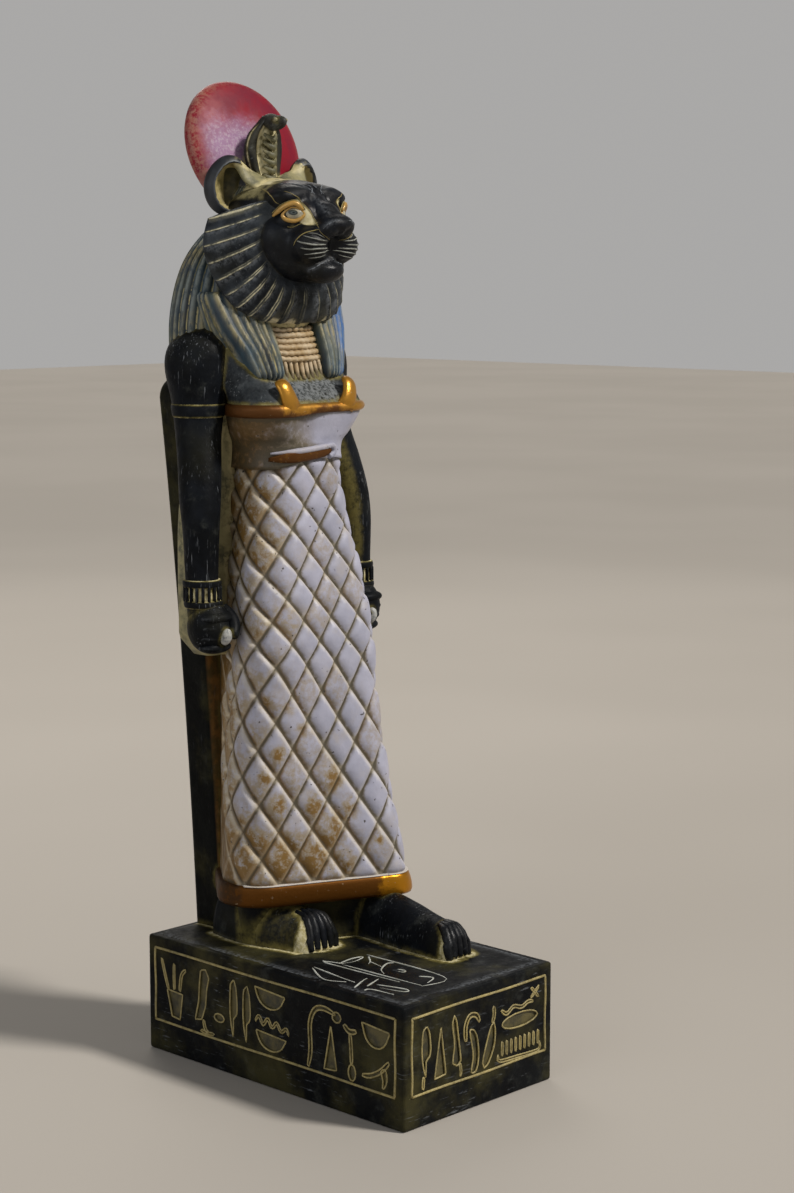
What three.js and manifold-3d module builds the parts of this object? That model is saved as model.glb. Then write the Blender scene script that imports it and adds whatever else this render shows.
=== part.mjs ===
import * as THREE from "three";
import { mergeVertices } from "three/addons/utils/BufferGeometryUtils.js";
import Module from "manifold-3d";

// A lioness-headed goddess in a quilted sheath dress, standing against a back pillar on an inscribed
// plinth: a tabletop statue cast in one piece. Millimetres, +Z up, the figure looks along -Y, its left
// is +X, and the origin is the centre of the plinth's underside.

// Driving dimensions
const PLINTH_WIDTH = 64;
const PLINTH_LENGTH = 110;
const PLINTH_HEIGHT = 36.5;
const PLINTH_EDGE = 1.2;
const PANEL_MARGIN = 3.4;
const PANEL_FOOT = 9.5;
const FRAME_LINE = 1;
const CARVING_DEPTH = 0.7;
const FIGURE_HEIGHT = 261;
const PILLAR_SETBACK = 1;
const PILLAR_DEPTH = 13;
const PILLAR_FOOT_WIDTH = 27;
const PILLAR_TOP_WIDTH = 53;
const PILLAR_HEIGHT = 172;
const DIAMOND_WIDTH = 11;
const DIAMOND_HEIGHT = 16.9;
const DIAMOND_RISE = 1.2;
const HEM_HEIGHT = 6.2;
const BAND_RISE = 0.8;
const FLUTE_RISE = 0.7;

// The free forms keep their proportions as shares of the figure's height. One share is a 261st of it,
// and a place is given as (x, out, up): sideways, out from the pillar's back face, up from the plinth.
const share = FIGURE_HEIGHT / 261;
const backFace = PLINTH_LENGTH / 2 - PILLAR_SETBACK;

function place(x, out, up) {
  return new THREE.Vector3(x * share, backFace - out * share, PLINTH_HEIGHT + up * share);
}

const wasm = await Module();
wasm.setup();

// A closed geometry as a solid. A deformed or mirrored one may be inside out, and is turned round.
function solid(geometry) {
  const bare = geometry.clone();
  bare.deleteAttribute("normal");
  bare.deleteAttribute("uv");
  const merged = mergeVertices(bare, 1e-3);
  const corners = merged.attributes.position.array;
  const kept = [];
  let volume = 0;
  const a = new THREE.Vector3();
  const b = new THREE.Vector3();
  const c = new THREE.Vector3();
  const index = merged.index.array;
  for (let i = 0; i < index.length; i += 3) {
    const [p, q, r] = index.slice(i, i + 3);
    if (p === q || q === r || r === p) continue;
    kept.push(p, q, r);
    a.fromArray(corners, p * 3);
    b.fromArray(corners, q * 3);
    c.fromArray(corners, r * 3);
    volume += a.dot(b.cross(c));
  }
  if (volume < 0) kept.reverse();
  return new wasm.Manifold(new wasm.Mesh({
    numProp: 3,
    vertProperties: new Float32Array(corners),
    triVerts: new Uint32Array(kept),
  }));
}

function reshape(geometry, move) {
  const position = geometry.attributes.position;
  const point = new THREE.Vector3();
  for (let i = 0; i < position.count; i += 1) {
    point.copy(move(point.fromBufferAttribute(position, i)));
    position.setXYZ(i, point.x, point.y, point.z);
  }
  return geometry;
}

// A closed column. surface(turn, rise, spread) gives the place at a fraction of the turn, which starts
// in front and goes towards +X, and at a fraction of the rise. spread is 0 at the middle of each end.
function column(sides, rows, surface) {
  const geometry = new THREE.CylinderGeometry(1, 1, 1, sides, rows);
  return reshape(geometry, (p) => {
    const spread = Math.hypot(p.x, p.z);
    const step = Math.round((Math.atan2(p.x, p.z) / (2 * Math.PI)) * sides);
    return surface(((step + sides) % sides) / sides, p.y + 0.5, spread);
  });
}

function ellipsoid(center, radii, around = 14, down = 10) {
  const geometry = new THREE.SphereGeometry(1, around, down);
  return reshape(geometry, (p) => place(
    center[0] + p.x * radii[0], center[1] + p.z * radii[1], center[2] + p.y * radii[2]));
}

function mirrored(geometry) {
  return geometry.clone().scale(-1, 1, 1);
}

function pair(geometry) {
  return solid(geometry).add(solid(mirrored(geometry)));
}

function fuse(solids) {
  return solids.reduce((sum, next) => sum.add(next));
}

// Rows of numbers, the first of each row being its height, read smoothly at any height between them.
function read(rows, height) {
  const last = rows.length - 2;
  let k = rows.findIndex((row) => row[0] > height) - 1;
  k = k < 0 ? (height < rows[0][0] ? 0 : last) : Math.min(k, last);
  const [low, high] = [rows[k], rows[k + 1]];
  const before = rows[Math.max(k - 1, 0)];
  const after = rows[Math.min(k + 2, rows.length - 1)];
  const span = high[0] - low[0];
  const t = THREE.MathUtils.clamp((height - low[0]) / span, 0, 1);
  return low.slice(1).map((value, i) => {
    const slopeLow = ((high[i + 1] - before[i + 1]) / (high[0] - before[0])) * span;
    const slopeHigh = ((after[i + 1] - value) / (after[0] - low[0])) * span;
    const t2 = t * t;
    const t3 = t2 * t;
    return value * (2 * t3 - 3 * t2 + 1) + slopeLow * (t3 - 2 * t2 + t)
      + high[i + 1] * (3 * t2 - 2 * t3) + slopeHigh * (t3 - t2);
  });
}

// The outline round several circles [x, out, radius], as a walk that starts in front at x = 0 and goes
// towards +X. at(s) gives the point a distance s along it and the way out of it, and s may be negative.
function outlineRound(circles) {
  const steps = 144;
  const ring = [];
  for (let k = 0; k < steps; k += 1) {
    const turn = (2 * Math.PI * k) / steps;
    const way = [Math.sin(turn), Math.cos(turn)];
    const reach = circles.map(([x, out, r]) => x * way[0] + out * way[1] + r);
    const [x, out, r] = circles[reach.indexOf(Math.max(...reach))];
    ring.push([x + r * way[0], out + r * way[1]]);
  }
  const middle = ring.reduce((sum, p) => sum + p[1], 0) / steps;
  const crossing = ring.findIndex((p, k) => {
    const next = ring[(k + 1) % steps];
    return p[0] < 0 && next[0] >= 0 && p[1] > middle;
  });
  const before = ring[crossing];
  const after = ring[(crossing + 1) % steps];
  const part = -before[0] / (after[0] - before[0]);
  const start = [0, before[1] + part * (after[1] - before[1])];
  const points = [start, ...ring.slice(crossing + 1), ...ring.slice(0, crossing + 1), start];
  const lengths = [0];
  for (let k = 1; k < points.length; k += 1) {
    const [p, q] = [points[k - 1], points[k]];
    lengths.push(lengths[k - 1] + Math.hypot(q[0] - p[0], q[1] - p[1]));
  }
  const total = lengths.at(-1);
  const point = (s) => {
    const walked = ((s % total) + total) % total;
    const k = Math.max(lengths.findIndex((l) => l > walked), 1);
    const t = (walked - lengths[k - 1]) / (lengths[k] - lengths[k - 1]);
    const [p, q] = [points[k - 1], points[k]];
    return [p[0] + t * (q[0] - p[0]), p[1] + t * (q[1] - p[1])];
  };
  const at = (s) => {
    const [p, q, here] = [point(s - 1), point(s + 1), point(s)];
    const length = Math.hypot(q[0] - p[0], q[1] - p[1]);
    return { x: here[0], out: here[1], way: [-(q[1] - p[1]) / length, (q[0] - p[0]) / length] };
  };
  // How far the walk goes before it sinks into something that stands this far out, on either side.
  const reach = (out, side) => {
    let s = 0;
    while (s < total / 2 && at(side * s).out > out) s += 0.5;
    return s;
  };
  return { at, total, reach };
}

// Body, from the hem to the neck: [up, right leg x, out, radius, left leg x, out, radius]
const body = [
  [13.5, -12.5, 29.5, 12, 21.5, 51.5, 6],
  [27.5, -13, 30.5, 11.4, 19, 49, 6.6],
  [49.5, -13.5, 32.5, 10.4, 16, 44.5, 7.8],
  [74.5, -14, 35, 9.6, 14, 40, 8.8],
  [93.5, -14, 36.5, 9.4, 13.5, 38, 9.2],
  [113.5, -11.5, 34.5, 9.4, 11.5, 34.5, 9.4],
  [133.5, -6.5, 31, 10.6, 6.5, 31, 10.6],
  [150.5, -4, 29.5, 12, 4, 29.5, 12],
  [156, -9, 31.5, 11, 9, 31.5, 11],
  [163, -13, 33.5, 10.3, 13, 33.5, 10.3],
  [166.5, -13, 32.5, 10, 13, 32.5, 10],
  [171.5, -13, 27, 10.3, 13, 27, 10.3],
  [183.5, -12, 20, 11, 12, 20, 11],
  [192, -8, 19, 10, 8, 19, 10],
];
const hemFoot = 13.5;
const hemTop = hemFoot + HEM_HEIGHT;
const waist = 150.5;
const chestBand = 163.5;
const pillarFront = PILLAR_DEPTH / share;
const pillarReach = 2;

function bodyCircles(up, grow = 0) {
  const [xr, outR, r, xl, outL, l] = read(body, up);
  const anchor = PILLAR_FOOT_WIDTH / share / 2 - 4;
  return [
    [xr, outR, r + grow], [xl, outL, l + grow],
    [-anchor, pillarFront - 1, 3 + grow], [anchor, pillarFront - 1, 3 + grow],
  ];
}

// A stretch of the body between two heights, grown by an even thickness
function bodyBand(low, high, grow, sides, rows) {
  return column(sides, rows, (turn, rise, spread) => {
    const up = low + rise * (high - low);
    const outline = outlineRound(bodyCircles(up, grow));
    const { x, out } = outline.at(turn * outline.total);
    const core = 22;
    return place(x * spread, core + (out - core) * spread, up);
  });
}

// The dress is quilted with diamonds. Its mesh has a point at each crossing of the seams and at the
// middle of each diamond, and the middles stand proud. The diamonds are shorter above the thighs, and
// the seams lean a little to the left side on their way down.
function dress() {
  const halfWide = DIAMOND_WIDTH / 2 / share;
  const halfTall = DIAMOND_HEIGHT / 2 / share;
  const tallRows = 8;
  const rowUp = (row) => hemTop + (row - 0.2 * Math.max(row - tallRows, 0)) * halfTall;
  let rows = tallRows;
  while (rowUp(rows) < waist) rows += 1;
  const widest = outlineRound(bodyCircles(hemTop)).total / 2;
  const half = Math.ceil((widest * 0.86) / halfWide) + 2;
  const sides = 2 * half;
  const geometry = column(sides, rows, (turn, rise, spread) => {
    const row = Math.round(rise * rows);
    const up = Math.min(rowUp(row), waist + 0.5) - (row === 0 ? 1 : 0);
    const lean = (5 * (waist - up)) / (waist - hemTop);
    const outline = outlineRound(bodyCircles(up));
    const step = Math.round(turn * sides);
    const side = step <= half ? 1 : -1;
    const count = side > 0 ? step : sides - step;
    const reach = outline.reach(pillarFront - pillarReach, side);
    const whole = (reach - side * lean) / halfWide;
    const s = count <= whole ? side * count * halfWide + lean
      : side * (reach + ((outline.total / 2 - reach) * (count - whole)) / (half - whole));
    const { x, out, way } = outline.at(s);
    const proud = (step + row) % 2 === 1 && count < whole ? DIAMOND_RISE / share : 0;
    const core = 22;
    return place((x + way[0] * proud) * spread, core + (out + way[1] * proud - core) * spread, up);
  });
  turnSeams(geometry, sides, rows);
  return solid(geometry);
}

// Each cell of the column's side is split so that the cut runs from crossing to crossing.
function turnSeams(geometry, sides, rows) {
  const index = geometry.index.array;
  for (let i = 0; i < sides; i += 1) {
    for (let j = 0; j < rows; j += 1) {
      if ((i + rows - j) % 2 === 1) continue;
      const k = (i * rows + j) * 6;
      const [a, b, d, , c] = index.slice(k, k + 6);
      index.set([a, b, c, a, c, d], k);
    }
  }
}

// Back pillar, flush with the plinth's back, wider towards its rounded top
function pillar() {
  const top = PILLAR_HEIGHT;
  const outline = new THREE.Shape();
  const foot = PILLAR_FOOT_WIDTH / 2;
  const head = PILLAR_TOP_WIDTH / 2;
  const round = 6;
  outline.moveTo(-foot, -2);
  outline.lineTo(foot, -2);
  outline.quadraticCurveTo(foot + (head - foot) * 0.32, top * 0.52, head, top - round);
  outline.quadraticCurveTo(head, top, head - round, top);
  outline.lineTo(-head + round, top);
  outline.quadraticCurveTo(-head, top, -head, top - round);
  outline.quadraticCurveTo(-foot - (head - foot) * 0.32, top * 0.52, -foot, -2);
  const geometry = new THREE.ExtrudeGeometry(outline, {
    depth: PILLAR_DEPTH - 1, bevelSize: 0.8, bevelThickness: 1, bevelOffset: -0.8, bevelSegments: 1, curveSegments: 4,
  });
  geometry.rotateX(Math.PI / 2);
  return solid(geometry.translate(0, backFace, PLINTH_HEIGHT));
}

// Arms hang at the sides: [up, x, out, radius], from the fist to the shoulder
const arm = [
  [100, 32, 27.2, 5],
  [112, 32.1, 26.2, 4.9],
  [128, 31.9, 25.8, 5.5],
  [137, 30.9, 24.4, 6.2],
  [147, 29, 22.2, 6.5],
  [156, 27, 19.6, 6.9],
  [165, 25.4, 18, 8],
  [177, 23.6, 16.5, 10.4],
  [184, 22, 16.3, 9],
  [189.5, 20, 16.3, 3],
];

function armPiece(low, high, grow, sides, rows) {
  return column(sides, rows, (turn, rise, spread) => {
    const up = low + rise * (high - low);
    const [x, out, radius] = read(arm, up);
    const r = (radius + grow) * spread;
    return place(x + r * Math.sin(turn * 2 * Math.PI), out + r * Math.cos(turn * 2 * Math.PI), up);
  });
}

// A cuff of upright ribs between two plain rings
function bracelet() {
  const ribs = 8;
  const [low, high] = [105.2, 113.5];
  const rib = column(2 * ribs, 1, (turn, rise, spread) => {
    const up = low + 2 + rise * (high - low - 4);
    const [x, out, radius] = read(arm, up);
    const r = (radius + (Math.round(turn * 2 * ribs) % 2 ? 0.7 : 0.2)) * spread;
    return place(x + r * Math.sin(turn * 2 * Math.PI), out + r * Math.cos(turn * 2 * Math.PI), up);
  });
  return fuse([rib, armPiece(low, low + 2.4, 1.1, 10, 1), armPiece(high - 2.2, high, 1.1, 10, 1)].map(pair));
}

// Closed hand, with four finger rolls, a thumb across them and the round end of a staff in its grip
function fist() {
  const parts = [ellipsoid([31.8, 28.4, 99.5], [6.4, 6.8, 8], 10, 5)];
  for (let k = 0; k < 4; k += 1) {
    parts.push(ellipsoid([31.6 - k * 0.2, 32.2 - k * 0.5, 102.4 - k * 3], [5.8, 3.6, 2.1], 6, 3));
  }
  parts.push(ellipsoid([27.4, 31.8, 100], [2.4, 3.4, 4.8], 5, 3));
  parts.push(ellipsoid([31, 36, 97.4], [2.3, 1.9, 2.4], 6, 3));
  return fuse(parts.map(pair));
}

// Feet point along -Y: [out, x, half width, height]. Their soles are sunk in the plinth.
const rightFoot = [
  [14, -11.5, 7, 14],
  [28, -11, 8.4, 14],
  [38, -9.4, 8.6, 12],
  [44, -7.6, 8.2, 8.6],
  [48.5, -6.8, 7.6, 5.6],
];
const leftFoot = [
  [36, 17, 6, 14],
  [56, 17.5, 7, 14.5],
  [66, 17, 7, 12],
  [76, 16.2, 7, 8.4],
  [84, 15.6, 6.6, 5.6],
];

function foot(rows) {
  const [heel, toes] = [rows[0][0], rows.at(-1)[0]];
  const sole = -1.5;
  return solid(column(10, 5, (turn, rise, spread) => {
    const out = heel + rise * (toes - heel);
    const [x, half, height] = read(rows, out);
    const lift = Math.max(Math.cos(turn * 2 * Math.PI), 0) ** 0.8;
    return place(x + half * spread * Math.sin(turn * 2 * Math.PI), out, sole + spread * lift * (height - sole));
  }));
}

// Five toes from the big one, on the side given, to the small one
function toes(rows, inner) {
  const [out, x, half] = rows.at(-1);
  const parts = [];
  for (let k = 0; k < 5; k += 1) {
    const across = x + inner * half * (0.72 - k * 0.38);
    const size = 1.95 - k * 0.13;
    parts.push(solid(ellipsoid([across, out + 1.2 - k * 0.9, 1], [size, 3.6, 4.1 - k * 0.2], 6, 3)));
  }
  return fuse(parts);
}

// Wig: [up, half width, front out, back out], fluted all round
const wig = [
  [170, 27.8, 22, 0.2],
  [182, 29.6, 25, 0],
  [190, 29.8, 26, 0.2],
  [198, 28.6, 26.5, 1],
  [205, 26.4, 26.5, 2.4],
  [210, 23.8, 27, 4],
  [214.5, 20, 27, 6],
  [219, 15.4, 27.5, 9],
  [224, 13, 28, 12],
  [229, 10, 28, 15],
];

function wigMantle() {
  const flutes = 32;
  const geometry = column(2 * flutes, 5, (turn, rise, spread) => {
    const up = wig[0][0] + rise ** 0.75 * (wig.at(-1)[0] - wig[0][0]);
    const [half, front, back] = read(wig, up);
    const angle = turn * 2 * Math.PI;
    const proud = Math.round(turn * 2 * flutes) % 2 ? FLUTE_RISE / share : 0;
    const middle = (front + back) / 2;
    return place((half + proud) * Math.sin(angle) * spread,
      middle + (middle - back + proud) * Math.cos(angle) * spread, up);
  });
  return solid(geometry);
}

// Front lappets of the wig: [up, inner x, outer x, front out]
const lappet = [
  [172.4, 8.7, 20.8, 38.4],
  [180, 8.9, 22.5, 36.4],
  [188, 9, 25, 33],
  [198, 9, 27, 29],
];

function lappetPiece() {
  const flutes = 6;
  const geometry = new THREE.BoxGeometry(1, 1, 1, 2 * flutes, 2, 1);
  return pair(reshape(geometry, (p) => {
    const up = lappet[0][0] + (p.y + 0.5) * (lappet.at(-1)[0] - lappet[0][0]);
    const [inner, outer, front] = read(lappet, up);
    const across = p.x + 0.5;
    const proud = Math.round(across * 2 * flutes) % 2 ? FLUTE_RISE / share : 0;
    const wrap = 4.5 * across ** 2;
    return place(inner + across * (outer - inner), p.z > 0 ? front - wrap + proud : 18, up);
  }));
}

// Broad collar between the lappets: level bands over a row of upright beads
function collar() {
  const parts = [];
  const bands = 3;
  for (let k = 0; k < bands; k += 1) {
    parts.push(solid(ellipsoid([0, 33.4 - k * 0.7, 180.5 + k * 2.7], [9.6, 3.4, 1.3], 6, 3)));
  }
  for (let k = -3; k <= 3; k += 1) {
    parts.push(solid(ellipsoid([k * 2.4, 34.3 - Math.abs(k) * 0.15, 174.6], [1.15, 3.1, 4.3], 4, 3)));
  }
  return fuse(parts);
}

// Pleated ruff of the mane. It is a tube bent round the face from temple to temple, with the places of
// its rim and of its inner edge read at the angle from straight down: [angle, x, out, up]
const ruffRim = [
  [0, 0, 34.6, 188.3],
  [30, 13, 33.6, 189.3],
  [60, 21.1, 30.7, 193.6],
  [90, 25.2, 26.2, 201.8],
  [115, 27, 23.5, 210.5],
  [140, 25.6, 21.7, 218.2],
  [160, 22, 21.5, 223.2],
];
const ruffInner = [
  [0, 0, 37.4, 199],
  [30, 8, 37.4, 200],
  [60, 13, 36.9, 203],
  [90, 15.8, 36, 208],
  [115, 16.6, 35.6, 213.5],
  [140, 16.4, 34.4, 219.4],
  [160, 14.4, 32.6, 223.6],
];

function ruff() {
  const pleats = 20;
  const sweep = 160;
  const step = 1.1;
  return solid(column(6, 2 * pleats, (turn, rise, spread) => {
    const angle = (rise * 2 - 1) * sweep;
    const side = Math.sign(angle) || 1;
    const [xr, outR, upR] = read(ruffRim, Math.abs(angle));
    const [xi, outI, upI] = read(ruffInner, Math.abs(angle));
    const fold = Math.round(rise * 2 * pleats) % 2 ? step : 0;
    const thick = 4.5 - (3 * Math.abs(angle)) / sweep;
    const mix = (t, lift) => [
      side * (xi + t * (xr - xi)), outI + t * (outR - outI) + lift, upI + t * (upR - upI)];
    const section = [
      mix(0, fold * 0.2), mix(0.5, 1 + fold), mix(1, fold), mix(1, -thick), mix(0.5, -thick - 4), mix(-0.5, -thick - 6),
    ];
    const heart = mix(0.45, -thick / 2 - 1);
    const edge = section[Math.round(turn * 6) % 6];
    return place(...heart.map((value, i) => value + spread * (edge[i] - value)));
  }));
}

// Head. It is a ball whose every point is moved along its ray to where a blend of ellipsoids ends:
// [x, out, up, x radius, out radius, up radius]. The head is even, so x is read without its sign.
const headForms = [
  [0, 26, 218.5, 17, 16, 12.5],
  [0, 34, 208.5, 13.5, 12, 8],
  [10, 35, 213.5, 6.5, 8, 7.5],
  [0, 34, 225, 13, 9.5, 5.6],
  [8.5, 38.5, 225.6, 6, 4.6, 2.8],
  [0, 43.5, 221.6, 4.4, 7.5, 4.6],
  [0, 49.6, 216.6, 4.8, 4, 2.8],
  [4.8, 46.8, 211.6, 5.8, 6.4, 5.2],
  [0, 45, 204.2, 6.6, 6, 3.8],
];
const headHollows = [
  [11.5, 45.5, 221.8, 5.2, 4.4, 3.2],
  [0, 54, 211.2, 0.9, 2, 3.4],
  [4.5, 52, 206.7, 5.6, 4.4, 0.8],
];
const eyeball = [10.2, 40.6, 221.4, 4.8, 3.4, 2.9];
const headBlend = 3;
const hollowBlend = 1;

function toEllipsoid(p, form) {
  const q = [Math.abs(p[0]) - form[0], p[1] - form[1], p[2] - form[2]];
  const near = Math.hypot(q[0] / form[3], q[1] / form[4], q[2] / form[5]);
  const steep = Math.hypot(q[0] / form[3] ** 2, q[1] / form[4] ** 2, q[2] / form[5] ** 2);
  return (near * (near - 1)) / Math.max(steep, 1e-6);
}

function softMin(a, b, blend) {
  const h = Math.max(blend - Math.abs(a - b), 0) / blend;
  return Math.min(a, b) - (h * h * blend) / 4;
}

function toHead(p) {
  let field = headForms.map((form) => toEllipsoid(p, form)).reduce((a, b) => softMin(a, b, headBlend));
  for (const hollow of headHollows) {
    field = -softMin(-field, toEllipsoid(p, hollow), hollowBlend);
  }
  return softMin(field, toEllipsoid(p, eyeball), 0.4);
}

function head() {
  const heart = [0, 33, 213];
  const geometry = new THREE.SphereGeometry(1, 28, 19);
  return solid(reshape(geometry, (p) => {
    const ray = [p.x, p.y, p.z];
    let [near, far] = [3, 30];
    for (let k = 0; k < 24; k += 1) {
      const middle = (near + far) / 2;
      const inside = toHead(heart.map((value, i) => value + ray[i] * middle)) < 0;
      [near, far] = inside ? [middle, far] : [near, middle];
    }
    return place(...heart.map((value, i) => value + ray[i] * near));
  }));
}

// Lids: an almond ring round each eye
function eyeRims() {
  const bend = (t) => {
    const angle = t * 2 * Math.PI;
    const along = Math.cos(angle);
    const rise = Math.sin(angle) * (1 - 0.35 * along * along);
    return place(10.2 + along * 4.7, 43.4 - along * 2.6 - 0.3 * Math.abs(rise), 221.3 + rise * 2.7 - along * 0.4);
  };
  class Almond extends THREE.Curve {
    getPoint(t) {
      return bend(t);
    }
  }
  const section = new THREE.Shape().absarc(0, 0, 0.75 * share, 0, 2 * Math.PI);
  const geometry = new THREE.ExtrudeGeometry(section, {
    steps: 12, extrudePath: new Almond(), curveSegments: 2, bevelEnabled: false,
  });
  return geometry;
}

// Ear: a rounded cup that faces forward and a little outward
function ears() {
  const turned = (center, radii, around, down) => reshape(new THREE.SphereGeometry(1, around, down), (p) => {
    const splay = 0.5;
    const q = [p.x * radii[0], p.z * radii[1], p.y * radii[2]];
    return place(center[0] + q[0] * Math.cos(splay) + q[1] * Math.sin(splay),
      center[1] - q[0] * Math.sin(splay) + q[1] * Math.cos(splay), center[2] + q[2]);
  });
  const cup = solid(turned([15.6, 20.6, 228.9], [8.5, 3.8, 10.4], 11, 6));
  const hollow = solid(turned([16.4, 24.2, 228.6], [5.6, 3.6, 7.4], 8, 4));
  const ear = cup.subtract(hollow);
  return ear.add(ear.mirror([1, 0, 0]));
}

// Sun disc, a thick lens leaning back on the crown of the head
function sunDisc() {
  const radius = 22;
  const lean = 0.32;
  const profile = [
    [0, -3], [16, -2.6], [radius - 0.8, -1.4], [radius, 0.6], [radius - 1.2, 2.6], [14, 4.6], [0, 5.4],
  ].map(([r, out]) => new THREE.Vector2(r, out));
  const geometry = new THREE.LatheGeometry(profile, 28);
  return solid(reshape(geometry, (p) => place(p.x,
    10.4 + p.y * Math.cos(lean) - p.z * Math.sin(lean), 239.9 + p.z * Math.cos(lean) + p.y * Math.sin(lean))));
}

// Rearing cobra on the brow: a spread hood with a stepped belly, and a head thrust forward
function cobra() {
  const hood = [
    [230, 4.2, 20, 3.4],
    [235, 6, 19.6, 3.2],
    [240, 7, 19.4, 3],
    [244.5, 6, 20, 2.8],
    [248, 3.4, 21.4, 2.4],
    [250, 2.2, 22.6, 2],
  ];
  const spread = column(8, 6, (turn, rise, reach) => {
    const up = hood[0][0] + rise * (hood.at(-1)[0] - hood[0][0]);
    const [half, out, thick] = read(hood, up);
    return place(reach * half * Math.sin(turn * 2 * Math.PI), out + reach * thick * Math.cos(turn * 2 * Math.PI), up);
  });
  const parts = [solid(spread), solid(ellipsoid([0, 26.4, 247.6], [2.4, 4.6, 2.6], 6, 5))];
  for (let k = 0; k < 5; k += 1) {
    parts.push(solid(ellipsoid([0, 22 + k * 0.12, 232.4 + k * 2.7], [2.4, 2.4, 1], 6, 3)));
  }
  return fuse(parts);
}

// Stone left between the limbs: under the hem, and between the arms, the body and the pillar
function webs() {
  const underHem = solid(bodyBand(-2, hemFoot + 1, -5, 18, 1));
  const slab = new THREE.BoxGeometry(1, 1, 1, 1, 1, 6);
  const behindArms = solid(reshape(slab, (p) => {
    const up = 89 + (p.z + 0.5) * 89;
    const half = Math.min(read(arm, up)[0] - 1, 25 + (up - 89));
    return place(2 * p.x * half, p.y > 0 ? 22 : 12, up);
  }));
  const yoke = solid(ellipsoid([0, 17, 177], [27, 11, 11], 10, 4));
  const throat = solid(ellipsoid([0, 25, 198], [14, 11.5, 15], 8, 4));
  return fuse([underHem, behindArms, yoke, throat]);
}

function straps() {
  return pair(ellipsoid([14, 41, 169.4], [1.7, 2.6, 4.6], 6, 4));
}

// Marks of the inscriptions: made-up strokes, each drawn in a cell one unit wide and high
const marks = {
  leaf: () => {
    const shape = new THREE.Shape();
    shape.moveTo(0.36, 0);
    shape.quadraticCurveTo(1.05, 0.7, 0.6, 1);
    shape.quadraticCurveTo(0, 0.9, 0.36, 0);
    return [shape];
  },
  wedge: () => [new THREE.Shape([[0.05, 0], [0.95, 0], [0.5, 1]].map((p) => new THREE.Vector2(...p)))],
  moon: () => {
    const shape = new THREE.Shape();
    shape.moveTo(0.02, 0.9);
    shape.lineTo(0.98, 0.9);
    shape.quadraticCurveTo(0.5, 0.1, 0.02, 0.9);
    return [shape];
  },
  ripple: () => {
    const points = [];
    for (let k = 0; k <= 6; k += 1) points.push([k / 6, k % 2 ? 0.62 : 0.38]);
    for (let k = 6; k >= 0; k -= 1) points.push([k / 6, k % 2 ? 0.78 : 0.54]);
    return [new THREE.Shape(points.map((p) => new THREE.Vector2(...p)))];
  },
  comb: () => {
    const bar = (x, y, w, h) => new THREE.Shape(
      [[x, y], [x + w, y], [x + w, y + h], [x, y + h]].map((p) => new THREE.Vector2(...p)));
    return [bar(0, 0.2, 1, 0.2), ...[0.04, 0.3, 0.56, 0.82].map((x) => bar(x, 0.48, 0.12, 0.36))];
  },
  crook: () => {
    const points = [[0.2, 0], [0.48, 0], [0.48, 0.6], [0.64, 0.78], [0.84, 0.64], [1, 0.8], [0.66, 1], [0.2, 0.7]];
    return [new THREE.Shape(points.map((p) => new THREE.Vector2(...p)))];
  },
};
const sideRow = ["crook", "wedge", "leaf", "leaf", "moon", "ripple", "crook", "wedge", "leaf"];
const frontRow = ["leaf", "wedge", "leaf", "crook", "comb"];

// One inscribed panel cut in a face: a frame line round a row of marks. turn is the face's direction.
function panel(width, distance, turn, row) {
  const left = -width / 2 + PANEL_MARGIN;
  const right = width / 2 - PANEL_MARGIN;
  const low = PANEL_FOOT;
  const high = PLINTH_HEIGHT - PANEL_MARGIN;
  const frame = new THREE.Shape([[left, low], [right, low], [right, high], [left, high]]
    .map((p) => new THREE.Vector2(...p)));
  frame.holes.push(new THREE.Path([
    [left + FRAME_LINE, low + FRAME_LINE], [right - FRAME_LINE, low + FRAME_LINE],
    [right - FRAME_LINE, high - FRAME_LINE], [left + FRAME_LINE, high - FRAME_LINE],
  ].map((p) => new THREE.Vector2(...p))));
  const shapes = [frame];
  const gap = 2.4;
  const cellWide = (right - left - 2 * gap) / Math.max(row.length, 1);
  const cellTall = high - low - 2 * gap;
  row.forEach((name, k) => {
    const squat = name === "moon" || name === "ripple" || name === "comb";
    const tall = squat ? cellTall * 0.52 : cellTall;
    const wide = Math.min(cellWide * 0.84, tall);
    const x = left + gap + (k + 0.5) * cellWide - wide / 2;
    const y = low + gap + (squat ? (k % 2 ? 0.05 : 0.5) * cellTall : 0);
    for (const shape of marks[name]()) {
      const points = shape.extractPoints(2).shape.map((p) => new THREE.Vector2(x + p.x * wide, y + p.y * tall));
      shapes.push(new THREE.Shape(points));
    }
  });
  const over = 1;
  return fuse(shapes.map((shape) => {
    const cut = new THREE.ExtrudeGeometry(shape, { depth: CARVING_DEPTH + over, bevelEnabled: false });
    cut.rotateX(Math.PI / 2);
    cut.translate(0, -distance + CARVING_DEPTH, 0);
    return solid(cut.rotateZ(turn));
  }));
}

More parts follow.
